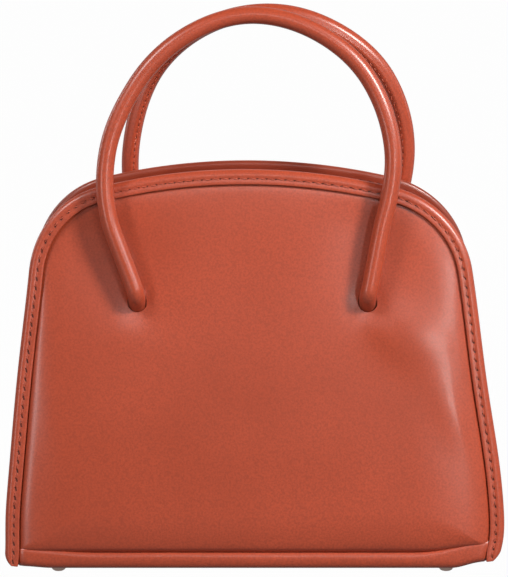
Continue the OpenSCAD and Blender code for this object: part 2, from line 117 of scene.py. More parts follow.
class HandleForm(Props):
    """Sizes of the two rolled handles, in the plane each one lies in."""

    radius: length("Radius", "Radius of the rolled handles", 0.00465)
    slot_x: length("Slot place", "Distance from the bag's middle to each slot", 0.0602)
    slot_height: length("Slot height", "Height of the slots above the underside of the base", 0.137)
    rise: length("Rise", "Height of the crown above the slots, along the handle", 0.151)
    arch_radius: length("Arch radius", "Radius of the handle's crown", 0.072)
    arch_turn: angle("Arch turn", "Half of the crown's angle", 60)
    flank_radius: length("Flank radius", "Radius of the handle's sides", 0.094)
    bend_radius: length("Bend radius", "Radius of the bend at each end", 0.0055)
    entry: angle("Entry angle", "Angle at which the ends go in, from the panel's face", 60)
    standoff: length("Standoff", "Distance from the slots' axis out to the handle's middle", 0.00825)
    pivot_depth: length("Pivot depth", "Depth of the slots' axis behind the rim's face", 0.0031)
    tail: length("Tail", "Length of each end past the slots' axis", 0.007)
    front_sway: length("Front sway", "Sideways shift of the front handle's crown", -0.002)
    back_sway: length("Back sway", "Sideways shift of the back handle's crown", 0.0085)
    core_radius: length("Core radius", "Radius of the cord inside each handle", 0.0030)
    stand: length("Stand", "How far use has bent each leg away from its panel", 0.0008)
    lap: length("Lap", "Height of the lapped seam along the handle", 0.0004)
    hole_gap: length("Hole gap", "Gap at each end's sides in its slot", 0.00035)
    slot_above: length("Slot above", "Distance from the slots' axis to each slot's upper end", 0.0064)
    slot_below: length("Slot below", "Distance from the slots' axis to each slot's lower end", 0.0044)


class BagColours(Props):
    """Colours of the finishes."""

    leather: colour("Leather", "Shell and handles", (0.47, 0.068, 0.026))
    gusset: colour("Gusset", "Gussets and zip strips", (0.38, 0.058, 0.026))
    # The cut edge colour is edge paint, made darker as painted shade of the gap beside each cut edge
    edge: colour("Cut edge", "Painted edges of the leather", (0.10, 0.012, 0.006))
    thread: colour("Thread", "Saddle stitches", (0.50, 0.092, 0.045))
    metal: colour("Metal", "Feet, zip and slider", (0.92, 0.66, 0.57))
    cloth: colour("Lining", "Lining cloth", (0.55, 0.38, 0.26))
    tape: colour("Tape", "Zip tape", (0.17, 0.032, 0.020))
    board: colour("Board", "Base board and stiffeners", (0.24, 0.20, 0.15))
    floor: colour("Floor", "Floor and surroundings", (0.10, 0.10, 0.10))


class StageForm(Props):
    """Camera and lights."""

    distance: length("Camera distance", "From the camera to what it looks at", 1.6)
    elevation: angle("Camera elevation", "Height of the camera above level", 10)
    lens: number("Lens", "Focal length for a 36 mm wide picture, in millimetres", 213.5)
    target_height: length("Target height", "Height of the point that the camera looks at", 0.150)
    shift_right: number("Shift right", "Move of the picture, in picture widths", 0.0032)
    shift_up: number("Shift up", "Move of the picture, in picture widths", -0.0227)
    key: number("Key light", "Power of the soft light from the upper right, in watts", 18.6)
    fill: number("Fill light", "Power of the soft light from the upper left, in watts", 5.6)
    right_strip: number("Right strip", "Power of the low narrow light right of the camera, in watts", 2.0)
    left_strip: number("Left strip", "Power of the low narrow light on the left, in watts", 2.0)
    top: number("Top light", "Power of the light above the camera, in watts", 1.3)
    edge: number("Edge light", "Power of the light from the right and behind, in watts", 1.5)
    left_edge: number("Left edge light", "Power of the light from the left and behind, in watts", 3.0)
    rear: number("Rear light", "Power of the broad light behind the bag, in watts", 14.0)
    world: number("World light", "Strength of the light from all round", 0.05)
    veil: number("Floor veil", "Share of the floor that always looks white", 0.985)
    mirrored: number("Mirrored floor", "Share of that whiteness in the bag's own reflections", 0.20)
    behind: number("Mirrored backdrop", "Strength of the white behind the bag in its own reflections", 0.35)


def form():
    """The shell's sizes."""
    return bpy.context.scene.bag_form


def handle_form():
    """The handles' sizes."""
    return bpy.context.scene.bag_handles


def colours():
    """The finishes' colours."""
    return bpy.context.scene.bag_colours


def ease(low, high, value):
    """Goes smoothly from 0 at low to 1 at high."""
    share = min(max((value - low) / (high - low), 0.0), 1.0)
    return share * share * (3 - 2 * share)


def hump(distance, width):
    """A soft hump of height 1 at no distance, gone at about twice its width."""
    return math.exp(-((distance / width) ** 2))


class Rim:
    """The rim's outline seen from the front, from one lower corner over the crown to the other."""

    def __init__(self):
        f = form()
        self.base_z = f.foot_height
        self.rim_z = f.foot_height + f.rim_lift
        self.seam_z = f.foot_height + f.strip_height
        self.arc_z = f.foot_height + f.body_height - f.crown_radius
        self.lean = math.atan((f.base_depth - f.crown_depth) / 2 / f.body_height)
        out = Vector((math.cos(f.side_lean), math.sin(f.side_lean)))
        up = Vector((-math.sin(f.side_lean), math.cos(f.side_lean)))
        arc = Vector((0, self.arc_z))
        start = Vector((f.base_width / 2, self.base_z)) - out * f.shoulder_radius - arc
        along = start.dot(up)
        room = start.length_squared - (f.crown_radius - f.shoulder_radius) ** 2
        self.shoulder = start + up * (math.sqrt(along**2 - room) - along) + arc
        self.crown_half = math.atan2(self.shoulder.x, self.shoulder.y - self.arc_z)
        self.round_z = self.rim_z + 0.9 * f.corner_radius

    def side_x(self, z, inset=0.0):
        """Distance from the middle to the side line at height z."""
        f = form()
        return f.base_width / 2 - (z - self.base_z) * math.tan(f.side_lean) - inset / math.cos(f.side_lean)

    def half_depth(self, z):
        """Distance from the middle plane to the rims' outer faces at height z."""
        return form().base_depth / 2 - (z - self.base_z) * math.tan(self.lean)

    def corner_in(self, z):
        """How far the rounded lower corner draws the rim's outer edge in at height z."""
        radius = form().corner_radius
        drop = min(max(self.round_z - z, 0), radius)
        return radius - math.sqrt(radius**2 - drop**2)

    def half(self, step, foot):
        """Points and outward directions up the +X half, from the foot of the side to the crown."""
        f = form()
        lean = f.side_lean
        out = Vector((math.cos(lean), math.sin(lean)))
        low = Vector((self.side_x(foot), foot))
        knee = Vector((self.side_x(self.round_z), self.round_z))
        top = self.shoulder + f.shoulder_radius * out
        points = [(low.lerp(knee, i / 10), out) for i in range(10)]
        count = max(int((top - knee).length / step), 2)
        points += [(knee.lerp(top, i / count), out) for i in range(count)]
        meet = math.pi / 2 - self.crown_half
        points += arc_points(self.shoulder, f.shoulder_radius, lean, meet, step / 2)
        crown = arc_points(Vector((0, self.arc_z)), f.crown_radius, meet, math.pi / 2, step)
        return points + crown[1:]

    def whole(self, step, foot):
        """The same from the -X end over the crown to the +X end."""
        half = self.half(step, foot)
        flip = [(Vector((-p.x, p.y)), Vector((-n.x, n.y))) for p, n in half]
        return flip + half[-2::-1]

    def place(self, point, out, inset, depth, side):
        """A point at an inset from the rim and a depth behind a face, the front (-1) or the back (1)."""
        if point.y < self.round_z and inset < STITCH_INSET:
            inset += self.corner_in(point.y) * (1 - inset / STITCH_INSET)
        at = point - out * inset
        return self.on_panel(at.x, at.y, depth, side)

    def on_panel(self, x, z, depth, side):
        """A point seen at x and z, at a depth behind a face."""
        return Vector((x, side * (self.half_depth(z) - depth / math.cos(self.lean)), z))


def arc_points(middle, radius, first, last, step):
    """Points and outward directions round an arc."""
    count = max(int(abs(last - first) * radius / step), 3)
    turns = [first + (last - first) * i / count for i in range(count + 1)]
    outs = [Vector((math.cos(t), math.sin(t))) for t in turns]
    return [(middle + radius * out, out) for out in outs]


# How the left (-1) and right (1) sides are bowed outward: how far, at what height, and over what half height
BOWS = {
    -1: ((0.0016, 0.105, 0.055), (-0.0022, 0.008, 0.018)),
    1: ((0.0030, 0.050, 0.045), (0.0006, 0.140, 0.040), (-0.0036, 0.004, 0.014)),
}


def bow(z, side):
    """How far a side is bowed outward at height z; the lower corners are drawn in."""
    return sum(far * hump(z - height, half) for far, height, half in BOWS[side])


# Where the base's ends rise, where its seam climbs, and the heights over which the lift of the base and that
# of the bindings' corners fade, all in metres
END_REACH = (0.106, 0.123)
SEAM_REACH = (0.090, 0.120)
BASE_FADE = (0.0, 0.012)
CORNER_FADE = (0.002, 0.018)


def end_lift(x):
    """How far the base is lifted towards its ends."""
    f = form()
    return (f.left_lift if x < 0 else f.right_lift) * ease(*END_REACH, abs(x))


def seam_rise(x):
    """How far the base strip's seam climbs towards the right end."""
    return form().seam_lift * ease(*SEAM_REACH, x)


def slouch(point, rim, lifted):
    """Where a point of the standing shell comes to rest: the rims lean, the sides bow, the ends lift."""
    f = form()
    height = max(point.z - rim.base_z, 0) / f.body_height
    share = max(min(point.y / rim.half_depth(point.z), 1.1), -1.1)
    mean = (f.back_lean + f.front_lean) / 2
    half = (f.back_lean - f.front_lean) / 2
    shift = (mean * abs(share) + half * share) * height**f.lean_power
    side = math.copysign(1, point.x)
    near = ease(0.45, 1.0, abs(point.x) / rim.side_x(min(point.z, 0.170)))
    if lifted:
        lift = end_lift(point.x) * (1 - ease(*BASE_FADE, point.z - rim.base_z))
    else:
        lift = f.corner_lift * ease(0, 0.1, point.x) * (1 - ease(*CORNER_FADE, point.z - rim.base_z))
    return Vector((point.x + shift + side * near * bow(point.z, side), point.y, point.z + lift))


def settle(piece, lifted=True):
    """Lets a finished mesh of the shell slouch; the bindings aren't lifted with the base's ends."""
    rim = Rim()
    for vertex in piece.data.vertices:
        vertex.co = slouch(vertex.co, rim, lifted)
    piece.data.update()
    return piece


def deselect():
    """Leaves Edit Mode and selects nothing."""
    if bpy.context.object and bpy.context.object.mode != "OBJECT":
        bpy.ops.object.mode_set(mode="OBJECT")
    bpy.ops.object.select_all(action="DESELECT")


def pick(piece):
    """Makes one piece the only selected and active one."""
    deselect()
    piece.select_set(True)
    bpy.context.view_layer.objects.active = piece


def open_mesh(piece):
    """Enters Edit Mode on one piece, with all of it selected."""
    pick(piece)
    bpy.ops.object.mode_set(mode="EDIT")
    bpy.ops.mesh.select_all(action="SELECT")


def close_mesh():
    """Leaves Edit Mode."""
    bpy.ops.object.mode_set(mode="OBJECT")


def new_object(name, data):
    """An object of that name and data, put into the scene."""
    made = bpy.data.objects.new(name, data)
    bpy.context.collection.objects.link(made)
    return made


def apply_modifier(piece, kind, **settings):
    """Adds a modifier, sets it and applies it."""
    pick(piece)
    modifier = piece.modifiers.new(kind.title(), kind)
    for name, value in settings.items():
        setattr(modifier, name, value)
    bpy.ops.object.modifier_apply(modifier=modifier.name)


def subdivide(piece):
    """Rounds a piece with one level of subdivision."""
    apply_modifier(piece, "SUBSURF", levels=1, render_levels=1)


def smooth(piece, degrees):
    """Shades a piece smooth, but for edges sharper than an angle."""
    pick(piece)
    bpy.ops.object.shade_smooth_by_angle(angle=math.radians(degrees))
    return piece


def outward(piece):
    """Turns every face of a closed mesh outwards."""
    open_mesh(piece)
    bpy.ops.mesh.normals_make_consistent(inside=False)
    close_mesh()
    return piece


def loft(name, rows, closed=False, capped=False):
    """Skins rows of points, with a UV map in metres: along the rows' path, and across each row."""
    count = len(rows[0])
    spans = count if closed else count - 1
    faces = [
        (r * count + c, r * count + (c + 1) % count, (r + 1) * count + (c + 1) % count, (r + 1) * count + c)
        for r in range(len(rows) - 1)
        for c in range(spans)
    ]
    ends = [tuple(range(count))[::-1], tuple((len(rows) - 1) * count + c for c in range(count))]
    mesh = bpy.data.meshes.new(name)
    mesh.from_pydata([point for row in rows for point in row], [], faces + (ends if capped else []))
    along, across = [0.0], [0.0]
    for before, after in zip(rows, rows[1:]):
        along.append(along[-1] + (after[0] - before[0]).length)
    middle = rows[len(rows) // 2]
    for i in range(1, count + 1):
        across.append(across[-1] + (middle[i % count] - middle[i - 1]).length)
    layer = mesh.uv_layers.new(name="UVMap").data
    for i in range(len(faces)):
        r, c = divmod(i, spans)
        for corner, (dr, dc) in enumerate(((0, 0), (0, 1), (1, 1), (1, 0))):
            layer[i * 4 + corner].uv = (along[r + dr], across[c + dc])
    return new_object(name, mesh)


def solid_loft(name, rows):
    """A closed loft with capped ends, its faces outward."""
    return outward(loft(name, rows, closed=True, capped=True))


def joined(name, pieces):
    """Joins pieces into one of that name."""
    deselect()
    for piece in pieces:
        piece.select_set(True)
    bpy.context.view_layer.objects.active = pieces[0]
    bpy.ops.object.join()
    pieces[0].name = name
    pieces[0].data.name = name
    return pieces[0]


def seat(piece):
    """Puts a piece's place into its mesh, so that its object sits at the origin."""
    pick(piece)
    bpy.ops.object.transform_apply(location=True, rotation=True, scale=True)


def hand_over(piece, body, finish, slot, *nodes):
    """Gives a finished piece its material and body, and hides the nodes that it stands for; slot is not
    used.
    """
    seat(piece)
    piece.data.materials.clear()
    piece.data.materials.append(finish)
    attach(piece, body)
    if nodes:
        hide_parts(*nodes)


def copies(model, name, places):
    """One mesh of many copies of a small model, each at its matrix."""
    points = [v.co.copy() for v in model.data.vertices]
    polygons = [tuple(p.vertices) for p in model.data.polygons]
    vertices, faces = [], []
    for place in places:
        start = len(vertices)
        vertices += [place @ point for point in points]
        faces += [tuple(start + i for i in polygon) for polygon in polygons]
    mesh = bpy.data.meshes.new(name)
    mesh.from_pydata(vertices, [], faces)
    for polygon in mesh.polygons:
        polygon.use_smooth = True
    bpy.data.objects.remove(model)
    return new_object(name, mesh)


def axes(x, z):
    """A turn whose x and z axes point these ways."""
    z = z.normalized()
    x = (x - x.dot(z) * z).normalized()
    return Matrix((x, z.cross(x), z)).transposed().to_4x4()


def thread_model(reach, radius):
    """One stitch along x: a thread that comes up, lies flat and goes down again."""
    deselect()
    bpy.ops.mesh.primitive_uv_sphere_add(segments=8, ring_count=6, radius=1)
    stitch = bpy.context.object
    for vertex in stitch.data.vertices:
        x, y, z = vertex.co
        flat = math.copysign(abs(x) ** 0.6, x)
        vertex.co = Vector((flat * reach / 2, y * radius, z * radius - 0.6 * radius * flat**4))
    return stitch


class Term:
    """A shader value that takes part in sums, each one adding its Math node."""

    def __init__(self, finish, socket):
        self.finish = finish
        self.socket = socket

    def join(self, operation, *others):
        """A Math node over this value and others."""
        node = self.finish.node("ShaderNodeMath", {"operation": operation})
        for i, value in enumerate((self, *others)):
            self.finish.feed(node.inputs[i], value)
        return Term(self.finish, node.outputs[0])

    def __add__(self, other):
        return self.join("ADD", other)

    def __sub__(self, other):
        return self.join("SUBTRACT", other)

    def __rsub__(self, other):
        return self.join("MULTIPLY_ADD", -1.0, other)

    def __mul__(self, other):
        return self.join("MULTIPLY", other)

    def __truediv__(self, other):
        return self.join("DIVIDE", other)

    __radd__ = __add__
    __rmul__ = __mul__

    def clamped(self):
        """The value held between 0 and 1."""
        node = self.finish.node("ShaderNodeClamp", {}, {"Value": self})
        return Term(self.finish, node.outputs[0])

    def below(self, limit, blur):
        """1 well below the limit, 0 well above it."""
        settings = {"interpolation_type": "SMOOTHSTEP"}
        sockets = {"Value": self, "From Min": limit + blur, "From Max": limit - blur}
        return Term(self.finish, self.finish.node("ShaderNodeMapRange", settings, sockets).outputs[0])


class Shading:
    """The short ways of adding nodes to a material or a world."""

    def __init__(self, owner):
        owner.use_nodes = True
        self.nodes = owner.node_tree.nodes
        self.links = owner.node_tree.links

    def node(self, kind, settings=None, sockets=None):
        """A node of that type, set and then fed."""
        made = self.nodes.new(kind)
        for name, value in (settings or {}).items():
            setattr(made, name, value)
        for name, value in (sockets or {}).items():
            self.feed(made.inputs[name], value)
        return made

    def feed(self, socket, value):
        """Links a socket to a value, or sets it."""
        if isinstance(value, Term):
            self.links.new(value.socket, socket)
        elif isinstance(value, bpy.types.NodeSocket):
            self.links.new(value, socket)
        elif hasattr(value, "__len__") and socket.type == "RGBA":
            socket.default_value = (*value[:3], 1)
        else:
            socket.default_value = value

    def split(self, place):
        """The three numbers of a place."""
        node = self.node("ShaderNodeSeparateXYZ", {}, {"Vector": place})
        return [Term(self, node.outputs[i]) for i in "XYZ"]

    def rays(self, kind):
        """1 for light rays of that kind, such as the camera's own."""
        return Term(self, self.node("ShaderNodeLightPath").outputs[kind])


class Finish(Shading):
    """A material made of one shader, and what varies over it."""

    def __init__(self, name, base, roughness, metallic=0.0, specular=0.5):
        self.material = bpy.data.materials.new(name)
        super().__init__(self.material)
        self.material.diffuse_color = (*base, 1)
        self.shader = self.nodes["Principled BSDF"]
        self.fix(Base_Color=(*base, 1), Roughness=roughness, Metallic=metallic, Specular_IOR_Level=specular)

    def fix(self, **values):
        """Sets the shader's own sockets; an underscore in a name stands for a space."""
        for name, value in values.items():
            self.shader.inputs[name.replace("_", " ")].default_value = value

    def place(self):
        """The place on the piece, in metres."""
        return self.node("ShaderNodeTexCoord").outputs["Object"]

    def strip(self):
        """Distances along and across a swept strip, from its UV map."""
        return self.split(self.node("ShaderNodeTexCoord").outputs["UV"])[:2]

    def cloud(self, place, scale, detail=3.0, rough=0.5):
        """Soft uneven noise, around one half."""
        sockets = {"Vector": place, "Scale": scale, "Detail": detail, "Roughness": rough}
        return Term(self, self.node("ShaderNodeTexNoise", {}, sockets).outputs["Fac"])

    def cells(self, place, scale):
        """Distance to the nearest of many scattered points, as pores have it."""
        node = self.node("ShaderNodeTexVoronoi", {}, {"Vector": place, "Scale": scale})
        return Term(self, node.outputs["Distance"])

    def mix(self, share, first, second):
        """The first colour, and the second one where share is 1."""
        node = self.node("ShaderNodeMix", {"data_type": "RGBA"})
        self.feed(node.inputs[0], share)
        self.feed(node.inputs[6], first)
        self.feed(node.inputs[7], second)
        return node.outputs[2]

    def stretched(self, place, scale):
        """The place, scaled along each axis."""
        return self.node("ShaderNodeMapping", {}, {"Vector": place, "Scale": scale}).outputs[0]

    def bump(self, height, distance, strength=1.0, normal=None):
        """A bumped normal, on top of another one if given."""
        sockets = {"Height": height, "Distance": distance, "Strength": strength}
        if normal is not None:
            sockets["Normal"] = normal
        return self.node("ShaderNodeBump", {}, sockets).outputs[0]

    def surface(self, **sockets):
        """Feeds the shader's sockets and gives the material; an underscore stands for a space."""
        for name, value in sockets.items():
            self.feed(self.shader.inputs[name.replace("_", " ")], value)
        return self.material


def toned(base, share):
    """A colour made lighter or darker."""
    return tuple(min(c * share, 1) for c in base)


def stitch_hole_shade(finish, along, across, pitch, lines):
    """1 on the painted shadow of each stitch hole and the gap beside its thread along each line, smaller
    near the crown.
    """
    offset = ((along / pitch).join("FRACT") - 0.5) * pitch
    grow = finish.split(finish.place())[2].below(0.195, 0.015)
    hole_shade = None
    for line in lines:
        off = across - line
        within = (offset + off * 0.4).join("ABSOLUTE").below(grow * 0.00050 + 0.00060, 0.00040)
        beside = (off - offset * 0.35).join("ABSOLUTE").below(grow * 0.00016 + 0.00026, 0.00026)
        mark = within * beside
        hole_shade = mark if hole_shade is None else hole_shade.join("MAXIMUM", mark)
    return hole_shade


def leather_finish(name, base, gloss=0.42, stitched=None, grain=1.0, cut_edge=0.0, inner=None):
    """Smooth dyed leather: fine pores, soft mottling, dark cut edges that are edge paint and painted shade,
    painted shade on the inner side past a fold, and painted shadow in the stitch holes along a seam.
    """
    finish = Finish(name, base, gloss, specular=0.45)
    finish.fix(Sheen_Weight=0.02, Sheen_Roughness=0.45, Coat_Weight=0.55, Coat_Roughness=0.25)
    place = finish.place()
    mottle = finish.cloud(place, 14.0, 3.0)
    speck = finish.cloud(place, 900.0, 2.0)
    pores = finish.cells(place, 1500.0)
    shade = finish.mix((mottle * 1.6 - 0.3).clamped(), toned(base, 0.86), toned(base, 1.12))
    shade = finish.mix((speck * 3.0 - 1.1).clamped() * 0.7, shade, toned(base, 0.66))
    height = pores * 0.5 + finish.cloud(place, 260.0, 2.0) * 0.9
    normal = finish.bump(height, 0.00008 * grain, 0.5)
    rough = mottle * 0.10 + speck * 0.08 + (gloss - 0.09)
    along, across = finish.strip() if stitched or cut_edge else (None, None)
    # Dark cut edges: edge paint, and painted shade of the gap beside the binding's lip and above the base
    # strip
    if cut_edge:
        shade = finish.mix(across.below(cut_edge, 0.0002), shade, tuple(colours().edge))
    # Painted shade: the binding's inner face past its fold is darkened for the shade it lies in between the
    # rims
    if inner:
        shade = finish.mix(across.below(inner, 0.0006), toned(base, 0.55), shade)
    if stitched:
        # Stitch holes: painted shadow, a darker colour where each hole and the gap beside its thread lie in
        # shade, with a bump and more roughness there
        hole_shade = stitch_hole_shade(finish, along, across, *stitched)
        shade = finish.mix(hole_shade, shade, toned(base, 0.20))
        normal = finish.bump(1 - hole_shade, 0.0006, 0.8, normal)
        rough = rough + hole_shade * 0.3
    return finish.surface(Base_Color=shade, Roughness=rough, Normal=normal)


def thread_finish():
    """Waxed linen thread, with the lay of its plies."""
    base = tuple(colours().thread)
    finish = Finish("waxed_thread", base, 0.55)
    sockets = {"Vector": finish.place(), "Scale": 900.0}
    wave = finish.node("ShaderNodeTexWave", {"bands_direction": "DIAGONAL"}, sockets)
    ply = Term(finish, wave.outputs["Fac"])
    shade = finish.mix(ply, toned(base, 0.7), toned(base, 1.15))
    return finish.surface(Base_Color=shade, Normal=finish.bump(ply, 0.00012, 0.6))


def metal_finish():
    """Polished metal, plated in a pale rose tone, with faint rub marks."""
    base = tuple(colours().metal)
    finish = Finish("plated_metal", base, 0.16, metallic=1.0)
    place = finish.place()
    rubs = finish.cloud(finish.stretched(place, (400.0, 90.0, 400.0)), 5.0, 4.0)
    haze = finish.cloud(place, 220.0, 2.0)
    shade = finish.mix((haze - 0.4).clamped() * 0.5, base, toned(base, 0.82))
    rough = rubs * 0.16 + haze * 0.06 + 0.20
    return finish.surface(Base_Color=shade, Roughness=rough, Normal=finish.bump(rubs, 0.00001, 0.4))


def cloth_finish(name, base, threads=2600.0):
    """Plain woven cloth."""
    finish = Finish(name, base, 0.85, specular=0.2)
    finish.fix(Sheen_Weight=0.25)
    place = finish.place()
    x, y, z = finish.split(place)
    warp = ((x + y * 0.35) * threads).join("SINE")
    weft = ((z + y * 0.65) * threads).join("SINE")
    weave = (warp * weft) * 0.5 + 0.5
    slub = finish.cloud(place, 300.0, 2.0)
    shade = finish.mix((weave * 0.6 + slub * 0.4).clamped(), toned(base, 0.72), base)
    rough = weave * 0.1 + 0.78
    return finish.surface(Base_Color=shade, Roughness=rough, Normal=finish.bump(weave, 0.0001, 0.6))


def board_finish():
    """Pressed fibre board."""
    base = tuple(colours().board)
    finish = Finish("fibre_board", base, 0.8, specular=0.25)
    place = finish.place()
    fibres = finish.cloud(finish.stretched(place, (500.0, 180.0, 500.0)), 3.0, 5.0, 0.7)
    shade = finish.mix(fibres, toned(base, 0.6), toned(base, 1.5))
    rough = fibres * 0.2 + 0.68
    return finish.surface(Base_Color=shade, Roughness=rough, Normal=finish.bump(fibres, 0.00015, 0.5))


def floor_finish():
    """A pale sweep that looks white to the camera, and takes the bag's soft shadow."""
    base = tuple(colours().floor)
    finish = Finish("studio_sweep", base, 0.9, specular=0.1)
    white = finish.node("ShaderNodeEmission", {}, {"Color": (1, 1, 1), "Strength": 1.0})
    stage = bpy.context.scene.bag_stage
    mirrored = finish.rays("Is Glossy Ray") * stage.mirrored
    seen = finish.rays("Is Camera Ray").join("MAXIMUM", mirrored)
    mixed = finish.node("ShaderNodeMixShader", {}, {"Fac": seen * stage.veil})
    finish.feed(mixed.inputs[1], finish.shader.outputs[0])
    finish.feed(mixed.inputs[2], white.outputs[0])
    finish.feed(finish.nodes["Material Output"].inputs["Surface"], mixed.outputs[0])
    return finish.material


finishes = {}

# The two faces of the bag: which way each one looks along Y, and its word
FACES = ((-1, "front"), (1, "back"))

# Width of the dark cut edges, which are edge paint deepened with painted shade of the gap beside each edge;
# the handles' seam: distance from stitch to stitch, radius of the thread, spokes of a ring round the handle,
# and the spoke that the seam follows; and the spokes round its cord
CUT_EDGE = 0.0009
HANDLE_PITCH = 0.0036
HANDLE_THREAD = 0.00030
HANDLE_SPOKES = 40
SEAM_SPOKE = 3
SEAM_TURN = 2 * math.pi * SEAM_SPOKE / HANDLE_SPOKES
CORE_SPOKES = 12


def mix_finishes():
    """Makes every material once."""
    c = colours()
    shell = tuple(c.leather)
    binding = {"stitched": (form().stitch_pitch, BINDING_LINES), "inner": SHADED_PAST_FOLD}
    seam = handle_form().radius * SEAM_TURN
    finishes.update(
        panel=leather_finish("panel_leather", shell, 0.40),
        binding=leather_finish("binding_leather", shell, grain=1.2, cut_edge=CUT_EDGE, **binding),
        gusset=leather_finish("gusset_leather", tuple(c.gusset), 0.46),
        handle=leather_finish("handle_leather", shell, 0.38, (HANDLE_PITCH, (seam,)), 0.4),
        base=leather_finish("base_leather", shell, cut_edge=CUT_EDGE),
        tab=leather_finish("tab_leather", shell),
        thread=thread_finish(),
        metal=metal_finish(),
        cloth=cloth_finish("lining_cloth", tuple(c.cloth)),
        tape=cloth_finish("zip_tape_weave", tuple(c.tape), 5200.0),
        filler=cloth_finish("cord_filler", (0.62, 0.55, 0.45), 3600.0),
        board=board_finish(),
        floor=floor_finish(),
    )


# The binding's cut across, as inset from the rim and depth behind its face, in millimetres
BINDING_CUT = (
    (7.50, 1.46), (7.62, 1.10), (7.62, 0.60), (7.52, 0.24), (7.28, 0.05), (6.80, -0.02), (6.15, -0.02),
    (5.60, 0.05), (5.10, 0.16), (4.60, 0.22), (4.10, 0.14), (3.60, -0.02), (3.00, -0.10), (2.35, -0.04),
    (1.65, 0.18), (1.00, 0.58), (0.45, 1.15), (0.12, 1.90), (0.00, 2.80), (0.12, 3.70), (0.45, 4.45),
    (1.00, 5.00), (1.70, 5.38), (2.60, 5.54), (4.00, 5.50), (5.20, 5.36), (6.10, 5.50), (6.75, 5.40),
    (6.95, 5.00), (6.85, 4.25), (2.60, 4.15), (1.90, 3.85), (1.60, 3.30), (1.55, 2.60), (1.70, 1.90),
    (2.20, 1.52), (4.00, 1.46),
)
MM = 0.001


def cut_length(cut, index):
    """Distance along a cut's outline to one of its points, in metres."""
    points = [Vector(p) * MM for p in cut[: index + 1]]
    return sum((b - a).length for a, b in zip(points, points[1:]))


# Which points of the cut lie on the two stitch lines and on the fold
STITCH_POINT = 9
BACK_STITCH_POINT = 25
FOLD_POINT = 19
BINDING_LINES = (cut_length(BINDING_CUT, STITCH_POINT), cut_length(BINDING_CUT, BACK_STITCH_POINT))
# Past this fold the binding's colour carries painted shade
SHADED_PAST_FOLD = cut_length(BINDING_CUT, FOLD_POINT)
STITCH_INSET = BINDING_CUT[STITCH_POINT][0] * MM
BINDING_THREAD = 0.00034

# Share of the pitch that a stitch shows, and how far it turns from the line
STITCH_SHARE = 0.66
STITCH_SLANT = Matrix.Rotation(math.radians(-9), 4, "Z")


def stitches_along(name, spots, pitch, radius, body, slot):
    """Threads set along a line of (place, outward direction) spots, one pitch apart, with gaps between them.
    """
    total = [0.0]
    for (a, _), (b, _) in zip(spots, spots[1:]):
        total.append(total[-1] + (b - a).length)
    places = []
    at = pitch
    i = 0
    while at < total[-1] - pitch / 2:
        while total[i + 1] < at:
            i += 1
        share = (at - total[i]) / (total[i + 1] - total[i])
        middle = spots[i][0].lerp(spots[i + 1][0], share)
        along = (spots[i + 1][0] - spots[i][0]).normalized()
        up = spots[i][1].lerp(spots[i + 1][1], share)
        places.append(Matrix.Translation(middle) @ axes(along, up) @ STITCH_SLANT)
        at += pitch
    piece = copies(thread_model(pitch * STITCH_SHARE, radius), name, places)
    if body == "bag":
        settle(piece, False)
    hand_over(piece, body, finishes["thread"], slot)


class BAG_OT_bindings(bpy.types.Operator):
    """Folds a binding over each rim and sews it down."""

    bl_idname = "bag.add_bindings"
    bl_label = "Bindings"

    def execute(self, context):
        rim = Rim()
        pitch = form().stitch_pitch
        stations = rim.whole(RIM_STEP, rim.rim_z)
        for side, word in FACES:
            rows = []
            for i, (point, out) in enumerate(stations):
                swell = 0.00016 * noise.noise(Vector((i * 0.045, side * 3.0, 0.5)))
                cut = [(a * MM, b * MM - swell * (b < 2.5)) for a, b in BINDING_CUT]
                rows.append([rim.place(point, out, inset, depth, side) for inset, depth in cut])
            piece = solid_loft(f"{word}_rim_binding", rows)
            subdivide(piece)
            smooth(settle(piece, False), 50)
            hand_over(piece, "bag", finishes["binding"], "shell_leather", f"{word}_binding")
            outer = Vector((0, side * math.cos(rim.lean), math.sin(rim.lean)))
            lines = (("outer", STITCH_POINT, outer, 0.0002), ("inner", BACK_STITCH_POINT, -outer, 0.0))
            for face, index, up, height in lines:
                inset, depth = (size * MM for size in BINDING_CUT[index])
                spots = [(rim.place(p, n, inset, depth, side) + up * height, up) for p, n in stations]
                name = f"{word}_binding_{face}_stitches"
                stitches_along(name, spots, pitch, BINDING_THREAD, "bag", "shell_leather")
        return {"FINISHED"}


def slot_centres():
    """Where each handle end crosses the slots' axis, seen from the front."""
    h = handle_form()
    z = form().foot_height + h.slot_height
    return [(side * h.slot_x, z) for side in (-1, 1)]


# How a panel swells: the heights over which its belly fades, and how far in it is full; the widths of the
# rise and of the roll along its edge; how much wider that roll is at the shoulders, and the heights over
# which it widens; the gap above the seam; and the width of the hollow round each slot
BELLY_FADE = (0.050, 0.172)
BELLY_RISE = 0.034
SWELL_WIDTH = 0.0010
ROLL_WIDTH = 0.0034
SHOULDER_ROLL = 0.0070
SHOULDER_FADE = (0.130, 0.165)
SEAM_GAP = 0.0012
SLOT_HOLLOW = 0.0082


def edge_distance(x, z, rim):
    """Distance from a place on a panel to the binding's inner edge, and 0 past it."""
    f = form()
    side = rim.side_x(min(z, 0.150), f.binding_width) - abs(x)
    top = rim.arc_z + math.sqrt(max((f.crown_radius - f.binding_width) ** 2 - x * x, 0)) - z
    corner = Vector((abs(x), z)) - rim.shoulder
    shoulder = f.shoulder_radius - f.binding_width - corner.length if min(corner) > 0 else top
    return max(min(side, top, shoulder), 0)


